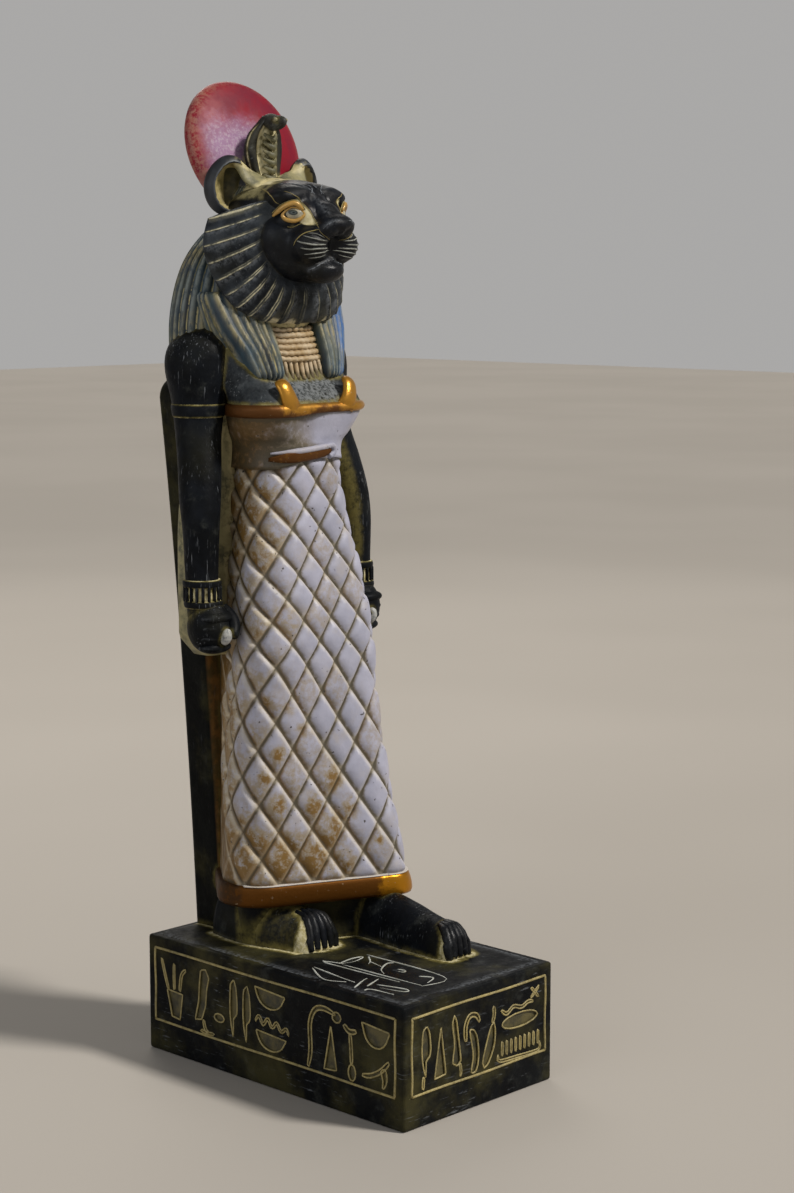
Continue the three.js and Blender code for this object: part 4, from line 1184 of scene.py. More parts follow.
# %% Rows of marks
# measured along the face from its middle, and up from the floor
side_marks = [
    ribbon([(-48.6, 30), (-46.9, 24.5), (-45.4, 20.5)], 0.8),
    ribbon([(-42.8, 29.3), (-42.9, 25), (-42.8, 21)], 0.8),
    ribbon([(-37.4, 28.3), (-39.4, 26.3), (-40.3, 21)], 0.9),
    [(-46.2, 20.6), (-39, 20.2), (-40.3, 12), (-44, 12.4)],
    [(-30.6, 29.8), (-28.4, 30.4), (-26.8, 28), (-27.9, 24), (-28.4, 19), (-30.2, 14.4), (-33.3, 13.8),
     (-31.6, 20), (-31.2, 25)],
    ribbon([(-29.4, 14.5), (-28.6, 11.6), (-27, 10.8)], 0.9),
    ribbon([(-30.8, 11), (-28, 10.6), (-24.6, 10.9)], 0.8),
    oval(-24.6, 15.3, 4.6, 2.6), leaf(-17.4, 12.2, 3.2, 18), leaf(-11.6, 11.8, 3.2, 17.6),
    bowl(-6.4, 24.2, 13.2, 5.8),
    ribbon([(-6.2, 19.4), (-4.6, 21.4), (-2.8, 18.9), (-0.8, 21.2), (1.1, 18.7), (3.1, 20.8), (5, 18.3),
            (7.2, 19.9), (8.2, 17.8)], 0.8),
    bowl(-6.0, 11.4, 13.2, 5.4),
    ribbon([(16.4, 10.8), (17.4, 16), (17.2, 24), (19.4, 28.6), (23.4, 29.6), (27.6, 28.6)], 1.3),
    oval(26.4, 26.4, 3.6, 3.2),
    wedge(23, 11.6, 5.2, 13.6), ribbon([(31.2, 26.6), (33.4, 25), (36.2, 25.6)], 1.3),
    ribbon([(33.7, 24.6), (34.1, 20), (34.3, 15.4)], 1.0),
    oval(32.9, 10.5, 3.0, 5.0), bowl(38.4, 22.4, 11.2, 6.6),
    ribbon([(49.2, 19.4), (46, 16.2), (42, 14), (38.6, 13.4)], 1.2),
    [(46, 16.2), (47.9, 17), (48.4, 13.4), (46.6, 10.8), (46.8, 13.6)],
]
front_marks = [
    leaf(-24.6, 14.4, 3.6, 15), ribbon([(-23.9, 14.6), (-24.1, 12.6), (-24.2, 11)], 0.8),
    wedge(-19.4, 12.8, 4.8, 15),
    [(-11.8, 15.6), (-8.4, 14.8), (-9.2, 22), (-10.6, 29.6), (-12, 27.4), (-11, 21)],
    ribbon([(-8.7, 15), (-8.3, 12.6), (-8.6, 11)], 0.7),
    ribbon([(-6.2, 20.8), (-6.4, 25), (-4.6, 28), (-1.6, 27.6), (-0.4, 25.4)], 1.2),
    [(-4.6, 24), (-1.8, 22.4), (-0.6, 16), (-1.6, 11), (-4, 10.8), (-3, 16)],
    [(1, 12.6), (3, 11.2), (6.2, 17), (6.4, 22.8), (4.8, 23.2)],
    ribbon([(5.2, 23.6), (6, 26), (5.8, 28.6)], 1.0),
    ribbon([(9.2, 26.6), (11.6, 25), (14.6, 26.6), (18.2, 25.6), (21.2, 26.6), (23.4, 26.2)], 0.9),
    ribbon([(22.4, 30.6), (24.2, 28.8), (25.8, 27)], 0.7),
    ribbon([(22.2, 27.4), (24.2, 28.9), (26, 30.4)], 0.7),
    oval(9.4, 19.8, 16, 4.4), ribbon([(8, 13.4), (8.2, 11.4), (16, 10.9), (26, 10.7), (26.2, 13.2)], 0.8),
] + [ribbon([(9.6 + k * 2.0, 12.6), (9.7 + k * 2.0, 17)], 0.7) for k in range(9)]
print(len(side_marks), "marks on a side,", len(front_marks), "in front")

# %% Cut the panels
CARVE = 0.5
FRAME_FOOT, FRAME_TOP = 9.8, 32.8
# a face: the way along it, the way out of it, how far out it is, half its frame's length, and its marks
FACES = [
    ((0, -1, 0), (-1, 0, 0), PLINTH_WIDTH / 2, 51.6, side_marks),
    ((1, 0, 0), (0, -1, 0), PLINTH_LENGTH / 2, 28.8, front_marks),
    ((0, 1, 0), (1, 0, 0), PLINTH_WIDTH / 2, 51.6, side_marks),
    ((-1, 0, 0), (0, 1, 0), PLINTH_LENGTH / 2, 28.8, []),
]


def on_face(points, along, out, distance):
    p = np.asarray(points, float)
    level, away = np.outer(p[:, 0], along) + np.outer(p[:, 1], (0, 0, 1)), np.full(len(p), distance)
    return (level + np.outer(away, out)) * MM


def mark_outline(mark):
    """The outline of a mark, smoothed if it has few corners, and anticlockwise."""
    few = 4 < len(mark) < 9
    outline = smooth_path(mark, max(14, len(mark) * 2), closed=True) if few else np.asarray(mark, float)
    after = np.roll(outline, -1, 0)
    area = np.sum(outline[:, 0] * after[:, 1] - after[:, 0] * outline[:, 1])
    return outline if area > 0 else outline[::-1]


def mark_cutter(outline, along, out, distance):
    deselect()
    bpy.ops.mesh.primitive_circle_add(vertices=len(outline), radius=1, fill_type="NGON")
    cutter = bpy.context.object
    set_points(cutter, on_face(outline, along, out, distance - CARVE))
    bpy.ops.object.mode_set(mode="EDIT")
    bpy.ops.mesh.select_all(action="SELECT")
    bpy.ops.mesh.extrude_region_move(TRANSFORM_OT_translate={"value": Vector(out) * 2 * MM})
    bpy.ops.mesh.select_all(action="SELECT")
    bpy.ops.mesh.normals_make_consistent(inside=False)
    bpy.ops.object.mode_set(mode="OBJECT")
    cutter.data.materials.append(floor_olive)
    return cutter


def mark_line(outline, along, out, distance):
    dense = np.vstack([outline, outline[:1]])
    walked = np.r_[0, np.cumsum(np.hypot(*np.diff(dense, axis=0).T))]
    at = np.linspace(0, walked[-1], max(12, int(walked[-1] / 0.9)) + 1)[:-1]
    ring = np.stack([np.interp(at, walked, dense[:, i]) for i in (0, 1)], -1)
    return roll(on_face(ring, along, out, distance - 0.08), 0.3, closed=True, sides=5, facing=out)


cutters, lines, frames = [], [], []
for along, out, distance, reach, marks in FACES:
    for mark in marks:
        outline = mark_outline(mark)
        cutters.append(mark_cutter(outline, along, out, distance))
        lines.append(mark_line(outline, along, out, distance))
    corners = np.array([(-reach, FRAME_FOOT), (reach, FRAME_FOOT), (reach, FRAME_TOP), (-reach, FRAME_TOP)])
    for a, b in zip(corners, np.roll(corners, -1, 0)):
        sway = 0.12 * np.sin(np.linspace(0, 9, 24) + a.sum())
        path = np.linspace(a, b, 24) + np.outer(sway, (b - a)[::-1] / np.linalg.norm(b - a))
        frames.append(roll(on_face(path, along, out, distance - 0.05), 0.42, sides=6, facing=out))
print(len(cutters), "cutters and", len(lines + frames), "painted lines")

# %% Carve and paint the block
cutter = joined(cutters)
cut = block.modifiers.new("carving", "BOOLEAN")
cut.operation, cut.solver, cut.object = "DIFFERENCE", "EXACT", cutter
cut.use_self = True
cut.material_mode = "TRANSFER"
block.data.materials.append(plinth_stone)
select_only(block)
bpy.ops.object.modifier_apply(modifier="carving")
bpy.data.objects.remove(cutter)
block.name = block.data.name = "plinth"
made["plinth"] = block
note(finish_piece(joined(lines + frames), "carved-lines", line_cream), "rub", 0.4)
print("plinth faces:", len(block.data.polygons), "materials:", [m.name for m in block.data.materials])

# %% [markdown]
# The top of the plinth isn't quite flat: it is a dense grid, a little wavy, set a hair above the block,
# so that the wash can gather round the feet and the pillar. White strokes are scratched into it in front
# of the feet.

# %% Top of the plinth
deselect()
bpy.ops.mesh.primitive_grid_add(x_subdivisions=48, y_subdivisions=84, size=1)
top = bpy.context.object
spots = points_of(top)
half_wide, half_long = PLINTH_WIDTH / 2 - PLINTH_EDGE, PLINTH_LENGTH / 2 - PLINTH_EDGE
x, y = spots[:, 0] * 2 * half_wide, spots[:, 1] * 2 * half_long
edge = np.minimum(half_wide - np.abs(x), half_long - np.abs(y))
wave = 0.10 * np.sin(x / 5.1 + 1) * np.cos(y / 7.3) + 0.14 * np.sin(y / 4.4 + x / 9)
swell = 0.9 * bump_at(y - 49, 7) * bump_at(x + 24, 9) + 0.5 * bump_at(y - 50, 5) * bump_at(x - 20, 8)
z = PLINTH_HEIGHT + (0.16 + wave + swell) * ease(edge, 0, 5) - 0.4 * (1 - ease(edge, 0, 1.5))
set_points(top, np.stack([x, y, z], -1) * MM)
note(top, "rub", 0.35 * bump_at(edge - 1.5, 1.6))
bpy.ops.object.mode_set(mode="EDIT")
bpy.ops.mesh.select_all(action="SELECT")
bpy.ops.mesh.extrude_region_move(TRANSFORM_OT_translate={"value": (0, 0, -1.6 * MM)})
bpy.ops.object.mode_set(mode="OBJECT")
finish_piece(top, "plinth-top", plinth_stone)
print("plinth top ready")

# %% Scratched strokes
# sideways from the figure's middle, and forward of the plinth's middle as minus
strokes = [
    [(-2, -11), (-2.6, -43.4), (-13.6, -44.5)], [(-13.5, -12.4), (-16.5, -7.2), (-15.1, -37.1)],
    [(-22.9, -8.9), (-28.4, -19.3), (-25.8, -25.9)],
    [(-22, -8.6), (-23.9, -22.8), (-24.3, -27.9)], [(-14.4, -11.5), (-8.1, -10.5), (-4.5, -11.7), (-9.6, -13.2),
                                                    (-14.1, -11.8)],
    [(-3.1, -12.7), (-7, -17.1), (-11.2, -18.9)], [(-6.6, -16.7), (-7.8, -22.5)],
    [(-2.5, -22.6), (-4.6, -21.7), (-9.8, -24.5), (-12.3, -28)],
    [(-6.4, -28.1), (-6, -30.6), (-7.3, -31.2), (-8, -29.6)], [(-7.2, -37.4), (-5.4, -41.3), (-10.1, -43.5)],
    [(-28, -31.5), (-21.5, -28.5), (-19.1, -27.8)], [(-24.5, -33.2), (-17.4, -30.7)],
    [(-21.6, -34.3), (-19, -43.6), (-21.1, -44.5), (-23.2, -36.9)],
    [(-27.9, -35.4), (-26, -36.3), (-25, -44.3)], [(-14.5, -13), (-13.2, -44)],
]
scratches = []
for stroke in strokes:
    path = smooth_path(stroke, 6 * len(stroke))
    spots = np.column_stack([path, np.full(len(path), PLINTH_HEIGHT + 0.24)]) * MM
    wide = 0.24 + 0.09 * np.sin(np.linspace(0, 5, len(path)))
    scratches.append(roll(spots, wide, sides=6, flat=0.6))
finish_piece(joined(scratches), "top-strokes", line_white)
print(len(strokes), "strokes")

# %% [markdown]
# ## Wig and collar
# The wig hangs in long strands from the crown over the shoulders, and two flat lappets come forward to
# the chest. A strand is a rounded ridge between two narrow grooves. Between the lappets lies a broad
# collar: level bands over a row of upright beads.

# %% Wig
# the wig: height, half width, front, back
WIG = [[170, 27.8, 22, 0.2], [182, 29.6, 25, 0], [190, 29.8, 26, 0.2], [198, 28.6, 26.5, 1],
       [205, 26.4, 26.5, 2.4],
       [210, 23.8, 27, 4], [214.5, 20, 27, 6], [219, 15.4, 27.5, 9], [224, 13, 28, 12], [229, 10, 28, 15]]


def strand(t):
    """The height of a ridge at t strands along, 0 in the groove and 1 on the crest."""
    return np.abs(np.sin(math.pi * t)) ** 0.7


FLUTES = 34
wig, turn, level, spread = clay(FLUTES * 8, 40)
up = 170 + level ** 0.75 * 59  # more rows near the crown, where it curves
half_wide, front, back = read(WIG, up)
angle = turn * TAU
ridge = strand(turn * FLUTES)
proud = ridge - 0.6
middle = (front + back) / 2
x = (half_wide + proud) * np.sin(angle)
out = (middle - back + proud) * np.cos(angle)
set_points(wig, place(x * spread, middle + out * spread, up))
note(wig, "rub", ridge ** 4 * 0.9)
note(wig, "wash", 0.35 * (1 - ridge) ** 2)
finish_piece(wig, "wig", wig_blue)

print("wig:", FLUTES, "strands")

# %% Lappets
# a lappet: height, inner edge, outer edge, front
LAPPET = [[172.0, 8.7, 17.6, 38.8], [180, 8.9, 20.8, 36.8], [188, 9, 24.6, 33.2], [198, 9, 27, 29]]
BACK, MIDDLE = 18, 25  # how far out a lappet starts, and the line it shrinks to at its ends


def lappet(lean):
    piece, turn, level, spread = clay(110, 26)
    up = 172.0 + level * 26
    inner, outer, front = read(LAPPET, up)
    c, s = np.cos(turn * TAU), np.sin(turn * TAU)
    k = (np.abs(c) ** 9 + np.abs(s) ** 9) ** (-1 / 9)
    across, depth = np.clip(0.5 + 0.5 * s * k, 0, 1), 0.5 + 0.5 * c * k
    face = ease(depth, 0.8, 1.0)
    beside = ease(across, 0.96, 1.0) * (1 - face)
    ridge = np.where(beside > 0.5, strand(depth * 4.2 + 0.4), strand(across * 6))
    bow = (3.0 + 1.5 * level) * across ** 2
    x = inner + across * (outer - inner) + 0.9 * (ridge - 0.35) * beside
    out = BACK + depth * (front - bow + (ridge - 0.35) * face - BACK)
    middle = inner + 0.5 * (outer - inner)
    close = spread * (1 - 0.12 * ease(np.abs(level - 0.5), 0.44, 0.5))
    set_points(piece, place(lean * (middle + (x - middle) * close), MIDDLE + (out - MIDDLE) * close, up))
    note(piece, "rub", ridge ** 4 * 0.8 * np.maximum(face, beside))
    note(piece, "wash", 0.3 * (1 - ridge) ** 2)
    note(piece, "stain", 0.85 * ease(across, 0.35, 0.7) if lean > 0 else 0.0)
    return piece


finish_piece(joined([lappet(-1), lappet(1)]), "lappets", wig_blue)
print("lappets ready")

# %% Collar
parts = []
for k in range(6):
    up, back = 178.0 + k * 1.75, k * 0.7
    path = smooth_path([(-9.6, 33.6 - back, up + 0.4), (-5, 35.3 - back, up - 0.1), (0, 35.9 - back, up),
                        (5, 35.3 - back, up + 0.1), (9.6, 33.6 - back, up + 0.3)], 30)
    bumpy = 0.82 + 0.16 * np.sin(np.arange(30) * 1.9 + k * 2.1)
    parts.append(roll(place(*path.T), bumpy, sides=10, facing=FORWARD, flat=1.25))
for k in range(-4, 5):
    out = 36.2 - abs(k) * 0.2
    path = [(k * 2.05, out + 0.4, 171.8), (k * 2.05, out - 0.2, 174.4), (k * 2.0, out - 1.0, 177.4)]
    parts.append(roll(place(*smooth_path(path, 8).T), 0.8, facing=FORWARD, flat=1.1))
parts.append(lump((0, 31.5, 177.5), (10.5, 3.6, 7.5), 30, 20))
finish_piece(joined(parts), "collar", collar_tan)
print("collar ready")

# %% [markdown]
# ## Mane
# A pleated ruff frames the face from temple to temple. Each pleat is a broad flat fold with a thin cream
# ridge along its edge. It is a tube bent round the face, whose rim and inner edge are read at the angle
# from straight down.

# %% Ruff
# angle from straight down, sideways, out, height
RIM = [[0, 0, 34.6, 188.3], [30, 13, 33.6, 189.3], [60, 21.1, 30.7, 193.6], [90, 25.2, 26.2, 201.8],
       [115, 27, 23.5, 210.5], [135, 25.8, 22.8, 216.4], [160, 22, 21.5, 223.2]]
INNER = [[0, 0, 37.4, 199], [30, 8, 37.4, 200], [60, 13, 36.9, 203], [90, 15.8, 36, 208],
         [115, 16.6, 35.8, 213.5],
         [140, 15.6, 35.8, 219.8], [160, 13.6, 36.2, 224.6]]
PLEATS, SWEEP = 20, 160  # the ruff goes this many degrees up each side
FOLDS, RING = 14, 30  # rows of points in each pleat, and points round the tube
ruff, turn, level, spread = clay(RING, PLEATS * FOLDS + 1)
along = level * PLEATS
step = along - np.floor(along)
along = np.floor(along) + step - 0.11 * np.sin(TAU * step)  # more rows near each ridge
angle = (along / PLEATS * 2 - 1) * SWEEP
side = np.where(angle < 0, -1, 1)
# the ridges slant: each runs from the rim up towards the eye
rim = read(RIM, np.abs(angle) - 14 * (np.abs(angle) / SWEEP) ** 1.3)
inner = read(INNER, np.abs(angle))
fold = np.where(side > 0, along % 1, (1 - along % 1) % 1)  # 0 on the pleat's lower edge, on both sides
crest = bump_at(np.minimum(fold, 1 - fold) * 5.8, 0.42)
lift = 0.8 * crest + 0.7 * fold * (1 - crest)
thick = 4.5 - 3 * np.abs(angle) / SWEEP
# the section of the tube: how far from the inner edge (0) to the rim (1), how far forward, and its
# share of the folds
section = [[0, 0.1, 0.25], [0.12, 0.7, 0.6], [0.3, 1.2, 1], [0.5, 1.35, 1], [0.7, 1.15, 1], [0.86, 0.7, 1],
           [0.96, 0.15, 0.9], [1.0, -0.5, 0.7], [1.0, -1.6, 0.3], [0.97, -3.2, 0], [0.8, -6, 0], [0.5, -8.5, 0],
           [0, -10, 0], [-0.4, -9, 0], [-0.35, -4, 0], [-0.12, -0.8, 0]]
ring = smooth_path(section, RING, closed=True)
t, raise_by, share = ring[np.round(turn * RING).astype(int) % RING].T
forward = np.where(raise_by < -0.5, raise_by * thick / 4.5, raise_by) + lift * share
grown = t + 0.045 * share * (crest - 0.4) * (t > 0.8)
sides = np.stack([side, np.ones(len(side)), np.ones(len(side))])
skin = (inner + grown * (rim - inner)) * sides
skin[1] += forward
heart = (inner + 0.45 * (rim - inner)) * sides
heart[1] -= thick / 2 + 1
set_points(ruff, place(*(heart + (skin - heart) * spread)))
print("ruff:", PLEATS, "pleats")

# %% Wash on the ruff
face = ease(share, 0.2, 0.8)
chance = chance_of(np.floor(along) * 12.99, 4758.5)
# cream patches on the front of the rim band: cream paint, and in part a painted highlight where the band faces
# the light
rim_cream_and_highlight = ease(t, 0.80, 0.92) * ease(raise_by, -2.4, -1.6) * ease(fold, 0.12, 0.26) * ease(-fold, -0.88, -0.72)
rim_cream_and_highlight *= ease(-np.abs(angle + 8), -56, -36) * (0.25 + 0.75 * (chance > 0.35))
note(ruff, "wash", np.maximum(face * 0.8 * crest ** 1.3 * (1 - 0.45 * bump_at(angle, 35)), 0.9 * rim_cream_and_highlight)
     + 0.45 * ease(np.abs(angle), 150, 158) * face)
note(ruff, "rub", face * 0.35 * ease(fold, 0.45, 0.9))
finish_piece(ruff, "ruff", mane_stone)
print("ruff washed")

# %% [markdown]
# ## Head
# The head is a ball whose every point slides along its own ray until it leaves a blend of egg forms:
# skull, jaw, cheeks, brow, bridge, nose, whisker pads and chin, with hollows for the eye sockets and
# mouth. The ball's pole points forward, so its points crowd together at the muzzle, where the carving is
# finest. Lines are then pressed in along paths: whiskers, mouth, nostrils and brow.

# %% Head form
# each egg: its middle, sideways, out and up, and its three radii; all are mirrored
HEAD_FORMS = [
    (0, 26, 218.5, 17, 16, 12.5), (0, 34, 208.5, 13.5, 12, 8), (10, 35, 213.5, 6.5, 8, 7.5),  # skull, jaw, cheeks
    (0, 34, 225, 13, 9.5, 5.6), (8.5, 38.5, 225.6, 6, 4.6, 2.8),  # forehead, brows
    (8.6, 40.9, 220.2, 3.4, 2.6, 2.7), (0, 42.6, 220.9, 5.2, 7.6, 4.0),  # round the eyes, bridge
    (0, 50.3, 217.4, 5.0, 4.9, 3.2), (3.3, 50.4, 216.8, 2.4, 3.1, 2.3),  # nose and its wings
    (6.4, 45.7, 211.7, 5.6, 5.5, 5.3), (0, 43.8, 211.4, 3.4, 4.4, 5.2),  # whisker pads, lip
    (5.6, 43.2, 220.2, 2.3, 3.0, 3.2), (0, 45, 204.2, 6.6, 6, 3.8),  # beside the bridge, chin
]
HEAD_HOLLOWS = [(0, 51.4, 211, 0.8, 2.2, 3.8), (4.5, 52, 206.7, 5.6, 3.6, 0.45)]
HEART = np.array([0, 33, 213.0])  # where the rays start


def to_egg(p, form):
    q = np.stack([np.abs(p[:, 0]) - form[0], p[:, 1] - form[1], p[:, 2] - form[2]], -1)
    r = np.array(form[3:])
    near = np.linalg.norm(q / r, axis=1)
    steep = np.linalg.norm(q / r ** 2, axis=1)
    return near * (near - 1) / np.maximum(steep, 1e-6)


def soft_min(a, b, blend):
    h = np.maximum(blend - np.abs(a - b), 0) / blend
    return np.minimum(a, b) - h * h * blend / 4


def to_head(p):
    field = to_egg(p, HEAD_FORMS[0])
    for form in HEAD_FORMS[1:]:
        field = soft_min(field, to_egg(p, form), 3)
    for hollow in HEAD_HOLLOWS:
        field = -soft_min(-field, to_egg(p, hollow), 1)
    return field


def to_path(p, path):
    """The distance of each point from a path, measured on one side of the face."""
    q = np.stack([np.abs(p[:, 0]), p[:, 1], p[:, 2]], -1)
    best = np.full(len(q), 1e9)
    path = np.asarray(path, float)
    for a, b in zip(path[:-1], path[1:]):
        d = b - a
        t = np.clip((q - a) @ d / (d @ d), 0, 1)
        best = np.minimum(best, np.linalg.norm(q - a - t[:, None] * d, axis=1))
    return best


deselect()
bpy.ops.mesh.primitive_uv_sphere_add(segments=208, ring_count=100, radius=1)
head = bpy.context.object
s = points_of(head)
tip = np.arccos(np.clip(s[:, 2], -1, 1)) / math.pi  # 0 at the pole that points forward
around = np.arctan2(s[:, 1], s[:, 0])
# the front 118 degrees get 88 rows in 100, and what the wig hides gets the rest
front, rest = math.radians(118), math.radians(62)
tip = np.where(tip < 0.88, tip / 0.88 * front, front + (tip - 0.88) / 0.12 * rest)
ray = np.stack([np.sin(tip) * np.cos(around), np.cos(tip), np.sin(tip) * np.sin(around)], -1)
near, far = np.full(len(ray), 3.0), np.full(len(ray), 30.0)
for _ in range(22):
    mid = (near + far) / 2
    inside = to_head(HEART + ray * mid[:, None]) < 0
    near, far = np.where(inside, mid, near), np.where(inside, far, mid)
skin = HEART + ray * near[:, None]
print("head points:", len(skin))

# %% Lines of the face
WHISKERS = [
    [(9.6, 48.6, 215), (8.4, 49.5, 215), (7.4, 50.2, 214.8), (6.4, 50.9, 214.3), (5.1, 51.3, 213.7)],
    [(10.7, 48, 214.3), (9.7, 49.6, 213.8), (8.3, 50.6, 213.4), (6.2, 51.1, 213), (3, 50.6, 212.9)],
    [(11.8, 46.4, 212.8), (11.5, 48, 212.3), (10.5, 49.4, 212), (8.8, 50.6, 211.7), (6.7, 51.2, 211.7),
     (4.2, 50.8, 211.8)],
    [(11.6, 47.6, 210.8), (10.8, 48.8, 210.5), (9.6, 50, 210.3), (8, 50.8, 210.5), (5.9, 51.1, 210.6),
     (2.1, 49.4, 210.8)],
    [(10.5, 48.1, 208.9), (9.5, 49.3, 209), (8, 50.2, 209.2), (6, 50.6, 209.4), (3.2, 49.8, 209.8),
     (0.8, 48.5, 210.1)],
    [(9, 48.4, 207.9), (8, 49.2, 207.9), (6.5, 49.7, 208.1), (4.5, 49.6, 208.4), (2.7, 49, 208.9)],
]
PAD = [(6.4, 50.2, 216.2), (7.1, 49.4, 215.9), (8.7, 48.6, 215.6), (10.2, 47.7, 215), (11.3, 46.8, 214.1),
       (11.8, 45.9, 212.9), (12, 45.1, 211.4)]
PAD_FRONT = [(6.4, 50.2, 216.2), (6.4, 50.8, 215.3), (5.6, 51.3, 214.5), (4.4, 51.5, 213.8), (1.9, 50, 213.1)]
LIP = [(0.5, 48.3, 208.1), (2, 48.6, 207.5), (3.1, 48.2, 206.8), (4.9, 48.1, 206.1), (6, 47.2, 205.3),
       (6.6, 45.8, 204.9)]
NOSE_LINE = [(12, 41.2, 227.2), (10.7, 42.4, 226.7), (9.5, 43, 226), (8.2, 43.3, 225.4), (7.5, 43.4, 224.5),
             (7.1, 44.2, 223.5), (6.7, 45.6, 222.3), (6.1, 46.4, 221.1), (5.7, 46.9, 219.9), (5.7, 48, 218.4),
             (6.4, 49.6, 217.2), (6.4, 50.2, 216.5)]
BROW = [(4, 42, 227.4), (8.6, 40.4, 227.6), (12.4, 37.4, 226)]
print(len(WHISKERS), "rows of whiskers")

# %% Press the lines in
# each groove: width, depth, path
GROOVES = [(0.38, 0.2, (smooth_path(a, 8) + smooth_path(b, 8)) / 2) for a,
           b in zip(WHISKERS[:-1], WHISKERS[1:])]
GROOVES += [
    (0.45, 0.3, PAD), (0.7, 0.6, LIP), (1.0, 0.5, [(0, 48.9, 208), (0, 49.3, 211), (0, 50.2, 214)]),
    # wings and nostrils of the nose, the side of the bridge, and the fold of the forehead
    (0.6, 0.7, [(1.4, 54, 214.9), (3.2, 53, 215.4), (4.9, 51.2, 216.6), (5.2, 49.8, 218.6)]),
    (0.8, 0.9, [(0.9, 54.6, 215.5), (2.2, 54.3, 216.3), (3.7, 53.4, 216.5)]),
    (0.8, 0.45, [(3.3, 43.5, 225.6), (3.9, 46, 222.8), (4.5, 48.2, 219.8)]),
    (0.5, 0.3, [(0, 44, 226.6), (0.2, 40, 229.6)]),
]
press = np.zeros(len(skin))
for wide, deep, path in GROOVES:
    press -= deep * bump_at(to_path(skin, path), wide)
press += 0.35 * bump_at(to_path(skin, BROW), 1.1)
print(len(GROOVES), "grooves, the deepest", round(-press.min(), 2), "mm")

# %% Paint the face
ax, out, up = np.abs(skin[:, 0]), skin[:, 1], skin[:, 2]
wash, rub = np.zeros(len(skin)), np.zeros(len(skin))
# cream fills the corner between the eye and the line beside the nose, and a little brown dust lies beyond it;
# along is measured square to the slope of the cheek
along = 0.72 * out - 0.69 * ax
table = np.array(NOSE_LINE)[::-1]
line = np.interp(up, table[:, 2], 0.72 * table[:, 1] - 0.69 * table[:, 0])
level_with = ease(up, 217, 218) * ease(-up, -225.6, -224) * ease(out, 38, 39.5)
spread = np.interp(up, [217.2, 218.2, 219.4, 221, 223, 225], [3.2, 4.6, 3.8, 2.7, 1.5, 1.0])
wash = np.maximum(wash, 1.15 * ease(line - along, -0.3, 0.1) * ease(along - line + spread, -0.4,
                                                                    0.4) * level_with)
wash = np.maximum(wash, 0.5 * bump_at(to_path(skin, [(6, 44, 217.9), (8, 42.8, 217.2), (10, 42.2, 216.9)]),
                                      0.7))
dust = 0.3 * bump_at(along - line - 1.1, 0.9) * level_with
wash = np.maximum(wash, 0.42 * ease(ax, 8, 10.5) * ease(up, 224, 226) * ease(-out, -36, -33))
# bridge, tip of the nose, lower lip and brow catch the brush, and on the tip of the nose and the lower lip the
# grey is also a painted highlight; each line: strength, width, path
BRUSHED_AND_HIGHLIGHT_LINES = [
    (0.28, 1.0, [(1.9, 44.4, 225.1), (2.5, 47.4, 223.4), (2.7, 50.1, 221.1)]),
    (0.4, 0.6, [(6, 52.2, 216.8), (5.3, 52.9, 217.7), (3.2, 54.2, 218.6)]),
    (0.3, 0.5, np.array(LIP) - (0, -0.2, 0.7)), (0.2, 0.8, [(3.4, 42, 228.4), (8.6, 40, 228.6)]),
]
for strength, wide, path in BRUSHED_AND_HIGHLIGHT_LINES:
    rub = np.maximum(rub, strength * bump_at(to_path(skin, path), wide))
# cream gathers on the crown, round the ears and the foot of the cobra
wash = np.maximum(wash, 0.8 * ease(up, 227, 229.5) * ease(-out, -36, -31) * ease(-ax, -11, -8))
skin = skin + ray * press[:, None]
set_points(head, place(*skin.T))
note(head, "wash", wash)
note(head, "rub", rub)
note(head, "stain", dust)
finish_piece(head, "head", face_stone)
print("head carved")

# %% Fine ridges of the face
head_tree = tree_of(head)


def drape(path, wide, count):
    """A fine ridge laid on the head along a path, and its mirror image."""
    spots, ways = [], []
    for place_of_drawing in smooth_path(path, count):
        spot, way, _, _ = head_tree.find_nearest(place(*place_of_drawing))
        spots.append(np.array(spot) + np.array(way) * 0.03 * MM)
        ways.append(np.array(way))
    share = np.linspace(0, 1, count)
    size = wide * np.sqrt(np.clip(1 - np.abs(2 * share - 1) ** 4, 0.12, 1))
    return both_sides(roll(np.array(spots), size, sides=6, facing=np.array(ways)))


whiskers = [drape(path, wide, 18) for path, wide in zip(WHISKERS, (0.12, 0.2, 0.25, 0.24, 0.2, 0.15))]
finish_piece(joined(whiskers), "whiskers", line_grey)
EYE_WAY = (0.73, -0.68, 0)  # the way the left eye looks
LID_EDGE = [(13.9, 38.3, 220.8), (13.5, 39.3, 221.8), (12.9, 40.7, 223.1), (12.1, 42.1, 223.9),
            (10.9, 43.3, 224.5), (9.9, 44.1, 224.5),
            (8.3, 44.9, 223.3), (7.3, 45.4, 221.9)]
ridges = [
    drape(NOSE_LINE, 0.15, 34), drape(PAD, 0.17, 20), drape(PAD_FRONT, 0.11, 12),
    drape([(11.3, 31.2, 228.1), (13.2, 35.5, 227), (14.4, 38.8, 225.5), (14.1, 39.2, 224.6), (13.4, 39.4, 224),
           (12.4, 40.2, 223.3)], 0.16, 18),
    drape([(11.4, 41.8, 216.9), (9.8, 42.3, 216.5), (8, 42.6, 216.9), (6.4, 43.4, 217.6)], 0.12, 12),
    both_sides(roll(place(*smooth_path(LID_EDGE, 24).T), 0.17, sides=6, facing=EYE_WAY)),
]
finish_piece(joined(ridges), "face-ridges", line_cream)
